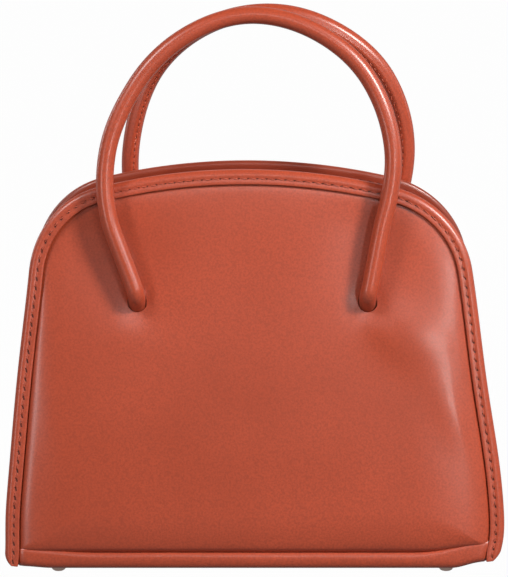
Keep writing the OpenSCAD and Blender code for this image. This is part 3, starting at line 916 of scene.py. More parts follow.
def panel_depth(x, z, rim):
    """How deep behind the rim's face the panel lies: swollen, and tucked in at its edges and slots."""
    f = form()
    edge = edge_distance(x, z, rim)
    above_seam = max(z - rim.seam_z - seam_rise(x), 0)
    inside = min(edge, above_seam * 1.6)
    low = 1 - ease(*BELLY_FADE, z)
    roll = min(edge / (ROLL_WIDTH + SHOULDER_ROLL * ease(*SHOULDER_FADE, z)), above_seam * 1500)
    slope = 1 - min(inside / BELLY_RISE, 1)
    free = min(inside, max(above_seam - SEAM_GAP, 0))
    swell = f.edge_swell * (0.4 + 0.6 * low) * (1 - math.exp(-free / SWELL_WIDTH))
    swell += f.edge_roll * (1 - math.exp(-roll))
    swell += f.belly * low * (1 - slope * slope)
    broad = noise.noise(Vector((x * 11, z * 14, 1.7)))
    fine = noise.noise(Vector((x * 26, z * 22, 5.1)))
    wave = (broad * 0.5 + fine * 0.16) * f.waviness
    depth = f.leather + 0.0004 - swell - (wave + crease(x, z)) * ease(0.0, 0.012, inside)
    for sx, sz in slot_centres():
        away = math.hypot(x - sx, (z - sz) * 0.8)
        depth += f.slot_tuck * hump(away, SLOT_HOLLOW)
    return depth + dent(x, z)


# The hollows along a handle's legs, left (-1) and right (1): distance from the middle at height LEG_Z, how
# much that grows with height, and the hollow's width on its outer side
DENTS = {-1: (0.0615, 0.33, 0.0500), 1: (0.0600, 0.15, 0.0165)}
LEG_Z = 0.140
DENT_INNER = 0.0215
DENT_RISE = (0.116, 0.172)
DENT_FADE = (0.176, 0.199)


def dent(x, z):
    """How far a panel is drawn in along its handle's legs."""
    place, slant, outer = DENTS[1 if x > 0 else -1]
    off = abs(x) - (place + slant * (z - LEG_Z))
    tall = ease(*DENT_RISE, z) * (1 - ease(*DENT_FADE, z))
    return form().dent * tall * hump(off, outer if off > 0 else DENT_INNER)


# Soft creases of the front view: middle, direction in degrees, half length, width and height
CREASES = (
    ((0.066, 0.128), -48, 0.016, 0.0045, 0.0005),
    ((-0.066, 0.128), 228, 0.014, 0.0045, 0.0003),
    ((0.082, 0.126), -40, 0.020, 0.0140, 0.0019),
    ((0.104, 0.085), 112, 0.024, 0.0090, 0.0009),
    ((-0.100, 0.070), 100, 0.030, 0.0090, 0.0004),
)


def crease(x, z):
    """Height of the soft creases at a place on a panel."""
    total = 0.0
    for (cx, cz), degrees, half, width, height in CREASES:
        cos, sin = math.cos(math.radians(degrees)), math.sin(math.radians(degrees))
        along = (x - cx) * cos + (z - cz) * sin
        across = (z - cz) * cos - (x - cx) * sin
        total += height * hump(along, half) * hump(across, width)
    return total


# The layers of each face: name, node, finish, slot, inset from the rim, lower end, depth behind the
# panel's front, deepest place allowed, and thickness, in millimetres
LAYERS = (
    ("leather_panel", "panel", "panel", "shell_leather", 1.5, 8.7, 0.0, 9.0, 1.40),
    ("panel_stiffener", "stiffener", "board", "stiffener", 9.5, 7.0, 1.45, 3.40, 0.80),
    ("panel_cloth", "lining", "cloth", "lining_cloth", 8.9, 7.1, 2.75, 4.20, 0.55),
)


# Sizes of the rings drawn in from a layer's outline, as shares of it; the leather's are close at its edge
RINGS = [1 - 0.06 * i for i in range(16)]
LEATHER_RINGS = [1, 0.985, 0.970, 0.9625] + [0.9575 - 0.0025 * i for i in range(12)]
LEATHER_RINGS += [0.925 - 0.0125 * i for i in range(7)] + [0.85 * (1 - i / 26) for i in range(1, 26)]
RING_CENTRE = Vector((0, 0, 0.100))

# Distance between points along the outlines, the rims and the handles
OUTLINE_STEP = 0.0030
RIM_STEP = 0.0024
HANDLE_STEP = 0.0022


class BAG_OT_panels(bpy.types.Operator):
    """Stretches a leather panel over each face, with its stiffener and lining, and cuts the slots."""

    bl_idname = "bag.add_panels"
    bl_label = "Panels"

    def execute(self, context):
        for side, word in FACES:
            for name, node, finish, slot, *sizes in LAYERS:
                piece = self.layer(side, *(size * MM for size in sizes))
                piece.name = f"{word}_{name}"
                smooth(piece, 35)
                hand_over(piece, "bag", finishes[finish], slot, f"{word}_{node}")
        return {"FINISHED"}

    def layer(self, side, inset, hem, behind, deepest, thickness):
        """One layer: rings drawn in from its outline, laid behind the panel's shape."""
        rim = Rim()
        outline = [point - out * inset for point, out in rim.whole(OUTLINE_STEP, foot=hem)]
        left, right = outline[0].x, outline[-1].x
        outline += [Vector((right + (left - right) * i / 60, hem)) for i in range(1, 60)]
        deselect()
        bpy.ops.mesh.primitive_circle_add(vertices=len(outline), radius=1)
        piece = bpy.context.object
        for vertex, point in zip(piece.data.vertices, outline):
            vertex.co = Vector((point.x, 0, point.y))
        open_mesh(piece)
        sizes = RINGS if behind else LEATHER_RINGS
        for before, after in zip(sizes, sizes[1:]):
            bpy.ops.mesh.extrude_edges_move()
            bpy.ops.transform.resize(value=[after / before] * 3, center_override=RING_CENTRE)
        bpy.ops.mesh.edge_face_add()
        close_mesh()
        for vertex in piece.data.vertices:
            x, _, z = vertex.co
            depth = min(panel_depth(x, z, rim) + behind, deepest + dent(x, z))
            vertex.co = rim.on_panel(x, z, depth, side)
        outward(piece)
        if piece.data.polygons[0].normal.y * side < 0:
            piece.data.flip_normals()
        apply_modifier(piece, "SOLIDIFY", thickness=thickness, offset=-1)
        settle(piece)
        for x, z in slot_centres():
            self.cut_slot(piece, rim, x, z, side)
        return piece

    def cut_slot(self, piece, rim, x, z, side):
        """Cuts a long round slot square through the panel."""
        h = handle_form()
        wide = h.radius + h.hole_gap
        deselect()
        bpy.ops.mesh.primitive_cylinder_add(vertices=48, radius=wide, depth=0.03)
        cutter = bpy.context.object
        for vertex in cutter.data.vertices:
            vertex.co.y += h.slot_above - wide if vertex.co.y > 0 else wide - h.slot_below
        face = rim.on_panel(x, z, h.pivot_depth, side)
        tilt = Matrix.Rotation(math.pi / 2 + side * rim.lean, 4, "X")
        cutter.matrix_world = Matrix.Translation(face) @ tilt
        bpy.context.view_layer.update()
        apply_modifier(piece, "BOOLEAN", operation="DIFFERENCE", object=cutter, solver="EXACT")
        bpy.data.objects.remove(cutter)


# The base's cut, as depth behind the front's face and height, in millimetres: over the base strip's upper
# edge, measured from that edge, and round the lower edge, measured from the underside
BASE_LIP = (
    (1.90, -1.1), (1.60, -0.3), (1.05, 0.0), (0.50, -0.3), (0.05, -1.0), (-0.25, -1.9), (-0.36, -3.0),
)
BASE_EDGE = ((-0.20, 4.3), (0.20, 2.8), (0.85, 1.5), (1.80, 0.5), (3.00, 0.0), (4.20, 0.0))

# How far the strip's upper edge rises at both ends, and how much more at the right one, each with where it
# rises; and how far the ends are tucked in under the bindings
END_RISE = 0.0027
END_RISE_REACH = (0.082, 0.126)
RIGHT_RISE = 0.0012
RIGHT_RISE_REACH = (0.096, 0.126)
END_TUCK = 0.0016


class BAG_OT_base(bpy.types.Operator):
    """Wraps the base leather round the bottom, with a rolled edge along its seams."""

    bl_idname = "bag.add_base"
    bl_label = "Base"

    def execute(self, context):
        rim = Rim()
        f = form()
        reach = rim.side_x(rim.base_z, f.binding_width) + 0.0012
        count = 96
        rows = []
        for i in range(count + 1):
            share = i / count * 2 - 1
            x = reach * math.copysign(abs(share) ** 0.85, share)
            rows.append(self.section(rim, x, reach))
        piece = solid_loft("base_leather", rows)
        subdivide(piece)
        smooth(settle(piece), 50)
        hand_over(piece, "bag", finishes["base"], "shell_leather", "base_panel")
        return {"FINISHED"}

    def section(self, rim, x, reach):
        """The tray's cut across the bag at x: lip, rounded edge, bottom, and the same at the back."""
        f = form()
        rise = END_RISE * ease(*END_RISE_REACH, abs(x)) + RIGHT_RISE * ease(*RIGHT_RISE_REACH, x)
        rise += seam_rise(x)
        tuck = END_TUCK * ease(reach - 0.0045, reach - 0.0010, abs(x))
        top = rim.seam_z + rise + 0.00012 * noise.noise(Vector((x * 60, 0.3, 0.7)))
        low = rim.base_z
        lip = [(depth, top + z * MM) for depth, z in BASE_LIP]
        lip += [(depth, low + z * MM) for depth, z in BASE_EDGE]
        front = [rim.on_panel(x, z, depth * MM + tuck, -1) for depth, z in lip]
        flat = rim.half_depth(low)
        bottom = [Vector((x, -flat + 0.012 + (2 * flat - 0.024) * i / 12, low)) for i in range(13)]
        top_face = low + f.leather
        inner = [rim.on_panel(x, low + 0.004, 1.75 * MM + tuck, 1), Vector((x, flat - 0.004, top_face))]
        across = [Vector((x, 0, top_face))]
        return front + bottom + self.other_side(front) + inner + across + self.other_side(inner)

    def other_side(self, points):
        """The same points on the other side of the bag's middle, last one first."""
        return [Vector((p.x, -p.y, p.z)) for p in reversed(points)]


# The two skins of each gusset: name, node, finish, slot, gap to the binding, thickness, and whether it has
# seam allowances under the bindings
SKINS = (
    ("gusset_leather", "gusset", "gusset", "gusset_leather", 0.0006, 0.0012, True),
    ("gusset_cloth", "gusset_lining", "cloth", "lining_cloth", 0.0016, 0.0005, False),
)


# Depth of the seam allowances and of the gusset's folds behind the rims' faces, and a gusset's spans across
GUSSET_SEAM = 0.0035
GUSSET_WALL = 0.0047
GUSSET_SPANS = 28


class BAG_OT_gussets(bpy.types.Operator):
    """Hangs a gusset between the rims on each side, folded in along its middle."""

    bl_idname = "bag.add_gussets"
    bl_label = "Gussets"

    def execute(self, context):
        rim = Rim()
        f = form()
        end = math.pi / 2 - rim.crown_half + 1e-6
        half = rim.half(OUTLINE_STEP, foot=rim.base_z + f.leather)
        stations = [(point, out) for point, out in half if math.atan2(out.y, out.x) <= end]
        for side, word in ((-1, "left"), (1, "right")):
            for name, node, finish, slot, gap, thickness, sewn in SKINS:
                rows = []
                for i, (point, out) in enumerate(stations):
                    row = self.section(rim, point, out, i / (len(stations) - 1), f.binding_width + gap, sewn)
                    rows.append([Vector((side * p.x, p.y, p.z)) for p in row])
                piece = loft(f"{word}_{name}", rows)
                if piece.data.polygons[len(piece.data.polygons) // 2].normal.x * side < 0:
                    piece.data.flip_normals()
                apply_modifier(piece, "SOLIDIFY", thickness=thickness, offset=0)
                if sewn:
                    subdivide(piece)
                smooth(settle(piece), 60)
                hand_over(piece, "bag", finishes[finish], slot, f"{word}_{node}")
        return {"FINISHED"}

    def section(self, rim, point, out, along, inset, sewn):
        """A skin's cut from rim to rim at a share of its length: seam allowances and a fold between them."""
        fold = form().gusset_fold * ease(0.03, 0.35, along) * (1 - ease(0.62, 0.98, along))
        edge = min(0.0018 + rim.corner_in(point.y) * 1.1, inset - 0.0020)
        insets = (edge, (edge + inset) / 2, inset - 0.0012) if sewn else ()
        at = point - out * inset
        half = rim.half_depth(at.y) - GUSSET_WALL / math.cos(rim.lean)
        row = [rim.place(point, out, a, GUSSET_SEAM, -1) for a in insets]
        for i in range(GUSSET_SPANS + 1):
            share = i / GUSSET_SPANS * 2 - 1
            inward = 0.9 * (1 - abs(share)) ** 1.25
            bulge = 0.16 * hump(abs(share) - 0.5, 0.22)
            curl = 0.0010 * noise.noise(Vector((at.x * 30, at.y * 30, share * 1.3))) * (1 - abs(share) ** 4)
            move = fold * (inward - bulge) + curl * ease(0.05, 0.2, along)
            spot = point - out * (inset + move)
            row.append(Vector((spot.x, half * share, spot.y)))
        return row + [rim.place(point, out, a, GUSSET_SEAM, 1) for a in insets[::-1]]


# The zip: half the gap between its strips; the strips' folded edges, as distance from that gap and depth
# below the strip's face; the strips' seams, with their stitches; how far below the strips the teeth lie; and
# the teeth
ZIP_GAP = 0.0056
ZIP_FOLD = ((0.0006, 0.0000), (0.0001, 0.0003), (0.0000, 0.0008), (0.0002, 0.0012))
ZIP_SEAM = 0.0078
ZIP_STITCH_PITCH = 0.0030
ZIP_THREAD = 0.00028
ZIP_DEPTH = 0.0015
TOOTH_PITCH = 0.0026
TOOTH_COUNT = 55
TOOTH_SIZE = (0.00118, 0.00270, 0.0019)
TOOTH_MIDDLE = 0.00045


class BAG_OT_closure(bpy.types.Operator):
    """Sets the two leather strips that carry the zip, below the rims."""

    bl_idname = "bag.add_closure"
    bl_label = "Zip strips"

    def execute(self, context):
        rim = Rim()
        f = form()
        half = rim.crown_half - 0.0006
        crown = Vector((0, rim.arc_z))
        stations = arc_points(crown, f.crown_radius, math.pi / 2 - half, math.pi / 2 + half, OUTLINE_STEP)
        for side, word in FACES:
            rows = [self.section(rim, point, out, side) for point, out in stations]
            piece = solid_loft(f"{word}_zip_leather", rows)
            subdivide(piece)
            smooth(settle(piece), 50)
            hand_over(piece, "bag", finishes["gusset"], "gusset_leather", f"{word}_zip_strip")
            spots = []
            for point, out in stations:
                at = point - out * (f.binding_width - 0.0002)
                spots.append((Vector((at.x, side * ZIP_SEAM, at.y)), Vector((out.x, 0, out.y))))
            name = f"{word}_zip_stitches"
            stitches_along(name, spots, ZIP_STITCH_PITCH, ZIP_THREAD, "bag", "gusset_leather")
        return {"FINISHED"}

    def section(self, rim, point, out, side):
        """The strip's cut across: seam allowance, turn under the rim, flat, and folded edge by the zip."""
        top = form().binding_width
        wall = rim.half_depth((point - out * top).y) - 0.0036 / math.cos(rim.lean)
        upper = [(0.0020, 0.0029), (0.0050, 0.0029), (top - 0.0012, 0.0032), (top - 0.0001, 0.0043)]
        lower = [(top + 0.0012, 0.0037), (top - 0.0004, 0.0043), (0.0050, 0.0041), (0.0020, 0.0041)]
        flat = []
        for share in (0.85, 0.6, 0.35, 0.15):
            flat.append((ZIP_GAP + (wall - ZIP_GAP) * share, 0.0004 * math.sin(math.pi * share)))
        flat += [(ZIP_GAP + y, down) for y, down in ZIP_FOLD]
        flat += [(ZIP_GAP + (wall - ZIP_GAP) * share, 0.0013) for share in (0.15, 0.5, 0.85)]
        row = [rim.place(point, out, inset, depth, side) for inset, depth in upper]
        for y, down in flat:
            at = point - out * (top + down)
            row.append(Vector((at.x, side * y, at.y)))
        return row + [rim.place(point, out, inset, depth, side) for inset, depth in lower]


def plane_point(x, up, out, side, rim):
    """A point of a handle's plane: across, up from the slots' axis, and out of the panel."""
    h = handle_form()
    pivot_z = form().foot_height + h.slot_height
    pivot_y = rim.half_depth(pivot_z) - h.pivot_depth / math.cos(rim.lean)
    sin, cos = math.sin(rim.lean), math.cos(rim.lean)
    return Vector((x, side * (pivot_y - up * sin + out * cos), pivot_z + up * cos + out * sin))


# Steps round a handle's bend and along its tail, and the heights over which its legs stand off and lie back
BEND_STEPS = 12
TAIL_STEPS = 5
STAND_RISE = (0.006, 0.055)
STAND_FADE = (0.075, 0.145)


def handle_line(sway, step):
    """The handle's middle line in its plane, from the -X end to the +X end, as points (x, up, out)."""
    h = handle_form()
    arch_up = h.rise - h.arch_radius
    inner = h.arch_radius - h.flank_radius
    flank = (inner * math.sin(h.arch_turn), arch_up + inner * math.cos(h.arch_turn))
    reach = h.standoff / math.sin(h.entry)
    corner_up = reach * math.cos(h.entry)
    legs = []
    for side in (1, -1):
        middle = Vector((flank[0] + side * sway, flank[1]))
        gap = Vector((h.slot_x - middle.x, middle.y - corner_up))
        slant = math.atan2(gap.y, gap.x) - math.acos(h.flank_radius / gap.length)
        down = Vector((-math.sin(slant), -math.cos(slant), 0))
        into = Vector((0, -math.cos(h.entry), -math.sin(h.entry)))
        turn = math.acos(down.dot(into))
        cut = h.bend_radius * math.tan(turn / 2)
        knee = middle + h.flank_radius * Vector((math.cos(slant), -math.sin(slant)))
        knee = Vector((*knee, h.standoff))
        corner = Vector((h.slot_x, corner_up, h.standoff))
        arc = arc_points(middle, h.flank_radius, math.pi / 2 - h.arch_turn, -slant, step)
        points = [(p.x, p.y, h.standoff) for p, _ in arc]
        begin = corner - down * cut
        count = max(int((begin - knee).length / step), 2)
        points += [tuple(knee.lerp(begin, i / count)) for i in range(1, count + 1)]
        centre = corner + (into - down).normalized() * h.bend_radius / math.cos(turn / 2)
        spoke = (begin - centre) / h.bend_radius
        for i in range(1, BEND_STEPS + 1):
            a = turn * i / BEND_STEPS
            points.append(tuple(centre + h.bend_radius * (spoke * math.cos(a) + down * math.sin(a))))
        tail_start = corner + into * cut
        tail = reach - cut + h.tail
        points += [tuple(tail_start + into * tail * i / TAIL_STEPS) for i in range(1, TAIL_STEPS + 1)]
        legs.append([(side * x, up, out) for x, up, out in points])
    first, last = math.pi / 2 + h.arch_turn, math.pi / 2 - h.arch_turn
    arc = arc_points(Vector((sway, arch_up)), h.arch_radius, first, last, step)
    arch = [(p.x, p.y, h.standoff) for p, _ in arc[1:-1]]
    return legs[1][::-1] + arch + legs[0]


# How far use has pushed each handle out of its curve, in millimetres, at even steps from its -X end
FRONT_WEAR = (0, 0.5, -1.1, -3.9, -3.6, -1.0, -0.4, 1.1, 0.8, -1.6, 0)
BACK_WEAR = (0, -0.1, -1.4, -0.8, -1.3, -1.7, -1.9, -0.2, -0.6, -2.3, 0)


def between_steps(values, share):
    """A smooth curve through values at even steps, read at a share of its length."""
    at = min(max(share, 0.0), 1.0) * (len(values) - 1)
    i = min(int(at), len(values) - 2)
    t = at - i
    before, first, second, after = (values[min(max(i + k, 0), len(values) - 1)] for k in (-1, 0, 1, 2))
    bend = 2 * before - 5 * first + 4 * second - after
    twist = 3 * (first - second) + after - before
    return first + 0.5 * t * (second - before + t * (bend + t * twist))


def worn_line(line, worn):
    """Pushes a handle's middle line out of its curve, and its legs away from the panel."""
    h = handle_form()
    points = [Vector(p) for p in line]
    straight = [abs(p.z - h.standoff) < 1e-6 for p in points]
    total = [0.0]
    for i in range(1, len(points)):
        step = (points[i] - points[i - 1]).length if straight[i] and straight[i - 1] else 0.0
        total.append(total[-1] + step)
    moved = []
    for i, point in enumerate(points):
        along = (points[min(i + 1, len(points) - 1)] - points[max(i - 1, 0)]).normalized()
        out = Vector((-along.y, along.x, 0))
        stand = ease(*STAND_RISE, point.y) * (1 - 0.7 * ease(*STAND_FADE, point.y))
        push = between_steps(worn, total[i] / total[-1])
        moved.append(point + out * push * MM + Vector((0, 0, h.stand * stand)))
    return moved


# How far the lapped seam stands up at each spoke round the handle, as a share of its height
LAP = (0.75, 1.0, 0.9, 0.6, 0.7, 0.5, 0.3, 0.1)


class BAG_OT_handles(bpy.types.Operator):
    """Rolls the two handles, with a lapped and stitched seam along the side that faces inwards."""

    bl_idname = "bag.add_handles"
    bl_label = "Handles"

    def execute(self, context):
        h = handle_form()
        rim = Rim()
        for (side, word), sway, worn in zip(FACES, (h.front_sway, h.back_sway), (FRONT_WEAR, BACK_WEAR)):
            worn_points = worn_line(handle_line(sway, HANDLE_STEP), worn)
            line = [plane_point(*point, side, rim) for point in worn_points]
            seam_way = Vector((0, -side * math.cos(rim.lean), -math.sin(rim.lean)))
            body = f"{word}_handle"
            rows, spots = self.rows(line, seam_way, HANDLE_SPOKES, h.radius)
            cover = smooth(solid_loft(f"{word}_rolled_handle", rows), 60)
            hand_over(cover, body, finishes["handle"], "handle_leather", f"{word}_handle_cover")
            rows, _ = self.rows(line[1:-1], seam_way, CORE_SPOKES, h.core_radius)
            core = smooth(solid_loft(f"{word}_cord_core", rows), 60)
            hand_over(core, body, finishes["filler"], "handle_filler", f"{word}_handle_core")
            name = f"{word}_handle_stitches"
            stitches_along(name, spots, HANDLE_PITCH, HANDLE_THREAD, body, "handle_leather")
        return {"FINISHED"}

    def rows(self, line, seam_way, spokes, radius):
        """Rings round the middle line, and the places of the seam's stitches."""
        rows, spots = [], []
        for i, middle in enumerate(line):
            before, after = line[max(i - 1, 0)], line[min(i + 1, len(line) - 1)]
            along = (after - before).normalized()
            seam = (seam_way - seam_way.dot(along) * along).normalized()
            across = along.cross(seam)
            ring = []
            for s in range(spokes):
                turn = 2 * math.pi * s / spokes
                way = seam * math.cos(turn) + across * math.sin(turn)
                ring.append(middle + way * (radius + (self.relief(s, i) if spokes == HANDLE_SPOKES else 0)))
            rows.append(ring)
            way = seam * math.cos(SEAM_TURN) + across * math.sin(SEAM_TURN)
            spots.append((middle + way * (radius + self.relief(SEAM_SPOKE, i) + 0.0001), way))
        return rows, spots

    def relief(self, spoke, i):
        """How far the surface stands off a plain round: the lapped seam and soft creases."""
        lap = LAP[spoke] if spoke < len(LAP) else 0.0
        turn = 2 * math.pi * spoke / HANDLE_SPOKES
        crease = noise.noise(Vector((i * 0.10, math.cos(turn) * 1.1, math.sin(turn) * 1.1))) * 0.16
        return handle_form().lap * (lap + crease) - 0.0001


# A foot's outline, as shares of its radius and its height
FOOT = (
    (0.0, 0.0), (0.42, 0.0), (0.62, 0.06), (0.80, 0.20), (0.93, 0.42), (0.985, 0.62), (1.0, 0.78),
    (1.06, 0.84), (1.08, 0.92), (1.04, 1.0), (0.3, 1.0), (0.28, 1.6), (0.0, 1.6),
)


class BAG_OT_feet(bpy.types.Operator):
    """Turns the four domed feet, each with a thin skirt where it meets the leather."""

    bl_idname = "bag.add_feet"
    bl_label = "Feet"

    def execute(self, context):
        low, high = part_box("feet")
        f = form()
        radius = high.x - f.foot_x
        feet = []
        for x in (low.x + radius, high.x - radius):
            for y in (low.y + radius, high.y - radius):
                feet.append(self.turned(FOOT, radius * 0.98, f.foot_height, Vector((x, y, 0))))
        piece = smooth(outward(joined("domed_feet", feet)), 30)
        hand_over(piece, "bag", finishes["metal"], "metal", "feet")
        return {"FINISHED"}

    def turned(self, profile, radius, height, place):
        """Spins a profile of shares of the radius and height into a solid."""
        deselect()
        bpy.ops.mesh.primitive_plane_add(size=1)
        piece = bpy.context.object
        open_mesh(piece)
        bpy.ops.mesh.delete(type="VERT")
        close_mesh()
        mesh = piece.data
        mesh.vertices.add(len(profile))
        mesh.edges.add(len(profile) - 1)
        for vertex, (r, z) in zip(mesh.vertices, profile):
            vertex.co = (r * radius, 0, z * height)
        for i, edge in enumerate(mesh.edges):
            edge.vertices = (i, i + 1)
        mesh.update()
        open_mesh(piece)
        bpy.ops.mesh.spin(steps=40, angle=2 * math.pi, center=(0, 0, 0), axis=(0, 0, 1))
        bpy.ops.mesh.select_all(action="SELECT")
        bpy.ops.mesh.remove_doubles(threshold=1e-6)
        close_mesh()
        piece.location = place
        return piece


# The slider's and the pull's pieces: node, name, body, finish, slot and radius of the rounded edges
SLIDER = (
    ("zip_slider_top", "zip_slider_cap", "zip_slider", "metal", "metal", 0.00022),
    ("zip_slider_bottom", "zip_slider_sole", "zip_slider", "metal", "metal", 0.00022),
    ("zip_pull_link", "zip_pull_ring", "zip_pull", "metal", "metal", 0.00018),
    ("zip_pull_tab", "zip_pull_leather", "zip_pull", "tab", "shell_leather", 0.0004),
)


class BAG_OT_zip(bpy.types.Operator):
    """Makes the zip's teeth, slider, pull and tab, and dresses its tapes and stops."""

    bl_idname = "bag.add_zip"
    bl_label = "Zip"

    def execute(self, context):
        arc_z = Rim().arc_z
        radius = form().crown_radius - form().binding_width - ZIP_DEPTH
        for first, (side, word) in enumerate(FACES):
            places = []
            for i in range(first, TOOTH_COUNT, 2):
                turn = (i - (TOOTH_COUNT - 1) / 2) * TOOTH_PITCH / radius
                place = Matrix.Translation((0, 0, arc_z)) @ Matrix.Rotation(turn, 4, "Y")
                places.append(place @ Matrix.Translation((0, 0, radius)))
            piece = smooth(copies(self.tooth_model(side), f"{word}_zip_row", places), 30)
            hand_over(piece, "bag", finishes["metal"], "metal", f"{word}_zip_teeth")
        for node, name, body, finish, slot, rounding in SLIDER:
            hand_over(soft_copy(node, name, rounding), body, finishes[finish], slot, node)
        dress("tape", "front_zip_tape", "back_zip_tape")
        dress("metal", "zip_stops")
        return {"FINISHED"}

    def tooth_model(self, side):
        """One tooth: a small block with rounded edges, from the tape into the gap between the rows."""
        deselect()
        bpy.ops.mesh.primitive_cube_add(size=1)
        tooth = bpy.context.object
        tooth.scale = TOOTH_SIZE
        tooth.location = (0, side * TOOTH_MIDDLE, 0)
        seat(tooth)
        open_mesh(tooth)
        bpy.ops.mesh.bevel(offset=0.00022, segments=2, affect="EDGES")
        close_mesh()
        return tooth


def merged_copy(node, name):
    """A copy of a node's solid, its doubled corners merged."""
    piece = new_object(name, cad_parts[node].data.copy())
    open_mesh(piece)
    bpy.ops.mesh.remove_doubles(threshold=1e-6)
    close_mesh()
    return piece


def soft_copy(node, name, radius):
    """A copy of a node's solid with its sharp edges rounded off."""
    piece = merged_copy(node, name)
    open_mesh(piece)
    bpy.ops.mesh.dissolve_limited(angle_limit=math.radians(1))
    close_mesh()
    sharp = math.radians(40)
    apply_modifier(piece, "BEVEL", width=radius, segments=2, limit_method="ANGLE", angle_limit=sharp)
    return smooth(piece, 35)


def dress(finish, *nodes):
    """Gives nodes of the frame a finish."""
    for node in nodes:
        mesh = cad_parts[node].data
        mesh.materials.clear()
        mesh.materials.append(finishes[finish])


class BAG_OT_inside(bpy.types.Operator):
    """Lays the base's board and lining, and dresses the zip's linings, the washers and the discs."""

    bl_idname = "bag.add_inside"
    bl_label = "Inside"

    def execute(self, context):
        layers = (("base_board", "board", "base_board"), ("base_lining", "cloth", "lining_cloth"))
        for node, finish, slot in layers:
            piece = smooth(settle(merged_copy(node, f"{node}_layer")), 30)
            hand_over(piece, "bag", finishes[finish], slot, node)
        dress("cloth", "front_zip_lining", "back_zip_lining")
        dress("metal", "foot_washers", "front_handle_discs", "back_handle_discs")
        return {"FINISHED"}


LAMP_DISTANCE = 1.35
LAMP_TARGET = Vector((0, 0, 0.12))
WARM = (1.0, 0.985, 0.96)
WHITE = (1.0, 1.0, 1.0)

# The soft boxes: name, its power among the stage's numbers, degrees round the bag from the camera's side,
# degrees above level, size and tint
LAMPS = (
    ("key_light", "key", 52, 36, (0.26, 0.36), WARM),
    ("fill_light", "fill", -50, 44, (0.30, 0.30), WHITE),
    ("right_strip", "right_strip", 22, 10, (0.12, 0.20), WARM),
    ("left_strip", "left_strip", -42, 7, (0.10, 0.40), WHITE),
    ("top_light", "top", 4, 28, (0.50, 0.18), WHITE),
    ("edge_light", "edge", 104, 18, (0.45, 0.80), WHITE),
    ("left_edge_light", "left_edge", -112, 20, (0.30, 0.80), WHITE),
    ("rear_light", "rear", 196, 30, (0.90, 0.60), WHITE),
)


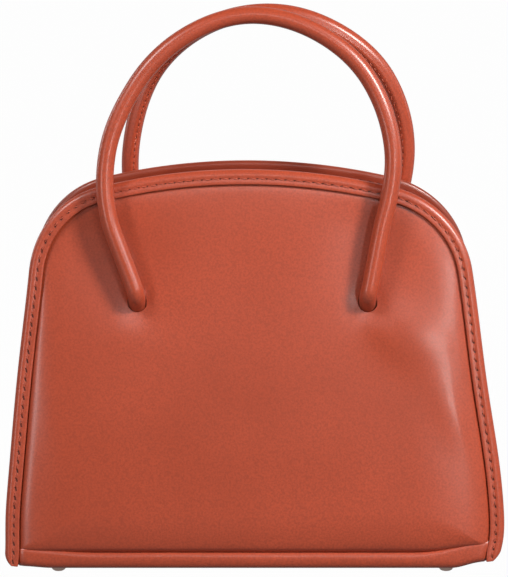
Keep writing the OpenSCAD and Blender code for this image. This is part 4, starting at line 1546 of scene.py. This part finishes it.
class BAG_OT_stage(bpy.types.Operator):
    """Sets the pale floor, the soft lights and the camera."""

    bl_idname = "bag.add_stage"
    bl_label = "Stage"

    def execute(self, context):
        s = context.scene.bag_stage
        deselect()
        bpy.ops.mesh.primitive_plane_add(size=12, location=(0, 0, 0))
        floor = bpy.context.object
        floor.name = "studio_floor"
        floor.data.materials.append(finishes["floor"])
        for name, power, turn, rise, size, tint in LAMPS:
            self.lamp(name, getattr(s, power), math.radians(turn), math.radians(rise), size, tint)
        context.scene.objects["rear_light"].visible_glossy = False
        self.world(s.world, s.behind)
        self.camera(s)
        context.scene.view_settings.view_transform = "Standard"
        return {"FINISHED"}

    def lamp(self, name, power, turn, rise, size, tint):
        """A soft box that points at the bag from an angle round it and an angle above level."""
        data = bpy.data.lights.new(name, "AREA")
        data.shape = "RECTANGLE"
        data.size, data.size_y = size
        data.energy = power
        data.color = tint
        lamp = new_object(name, data)
        away = Vector((math.sin(turn) * math.cos(rise), -math.cos(turn) * math.cos(rise), math.sin(rise)))
        lamp.location = LAMP_TARGET + LAMP_DISTANCE * away
        lamp.rotation_euler = (-away).to_track_quat("-Z", "Y").to_euler()

    def world(self, strength, mirrored_strength):
        """Lights the bag a little from all round, looks white, and is mirrored as white behind the bag."""
        world = bpy.data.worlds.new("studio_world")
        bpy.context.scene.world = world
        sky = Shading(world)
        _, away, _ = sky.split(sky.node("ShaderNodeTexCoord").outputs["Generated"])
        ramp = {"Value": away, "From Min": 0.3, "To Max": mirrored_strength}
        behind = Term(sky, sky.node("ShaderNodeMapRange", {}, ramp).outputs[0])
        seen = sky.rays("Is Camera Ray").join("MAXIMUM", behind * sky.rays("Is Glossy Ray"))
        level = sky.node("ShaderNodeMapRange", {}, {"Value": seen, "To Min": strength, "To Max": 1.0})
        background = sky.nodes["Background"].inputs
        sky.feed(background["Strength"], level.outputs[0])
        sky.feed(background["Color"], WHITE)

    def camera(self, s):
        """The camera in front of the bag, looking down at it a little."""
        data = bpy.data.cameras.new("photo_camera")
        data.sensor_fit = "HORIZONTAL"
        data.sensor_width = 36
        data.lens = s.lens
        data.shift_x = s.shift_right
        data.shift_y = s.shift_up
        data.clip_end = 50
        camera = new_object("photo_camera", data)
        target = Vector((0, 0, s.target_height))
        back = Vector((0, -math.cos(s.elevation), math.sin(s.elevation)))
        camera.location = target + back * s.distance
        camera.rotation_euler = (-back).to_track_quat("-Z", "Y").to_euler()
        bpy.context.scene.camera = camera


PIECES = (
    BAG_OT_stage,
    BAG_OT_bindings,
    BAG_OT_panels,
    BAG_OT_base,
    BAG_OT_gussets,
    BAG_OT_closure,
    BAG_OT_zip,
    BAG_OT_handles,
    BAG_OT_feet,
    BAG_OT_inside,
)


class BAG_PT_pieces(bpy.types.Panel):
    """Lists the bag's pieces and its main sizes and colours."""

    bl_label = "Top Handle Bag"
    bl_idname = "BAG_PT_pieces"
    bl_space_type = "VIEW_3D"
    bl_region_type = "UI"
    bl_category = "Bag"

    def draw(self, context):
        layout = self.layout
        for piece in PIECES:
            layout.operator(piece.bl_idname)
        for name in ("bag_form", "bag_handles", "bag_colours", "bag_stage"):
            group = getattr(context.scene, name)
            for key in group.bl_rna.properties.keys():
                if key not in ("rna_type", "name"):
                    layout.prop(group, key)


GROUPS = {"bag_form": BagForm, "bag_handles": HandleForm, "bag_colours": BagColours, "bag_stage": StageForm}


def register():
    """Registers the sizes, the operators and the panel."""
    for group in GROUPS.values():
        bpy.utils.register_class(group)
    for name, group in GROUPS.items():
        setattr(bpy.types.Scene, name, bpy.props.PointerProperty(type=group))
    for piece in (*PIECES, BAG_PT_pieces):
        bpy.utils.register_class(piece)


def unregister():
    """Takes them all out again."""
    for piece in (BAG_PT_pieces, *reversed(PIECES)):
        bpy.utils.unregister_class(piece)
    for name in GROUPS:
        delattr(bpy.types.Scene, name)
    for group in GROUPS.values():
        bpy.utils.unregister_class(group)


def main():
    """Builds the whole bag."""
    register()
    mix_finishes()
    for piece in PIECES:
        space, name = piece.bl_idname.split(".")
        getattr(getattr(bpy.ops, space), name)()


if __name__ == "__main__":
    main()
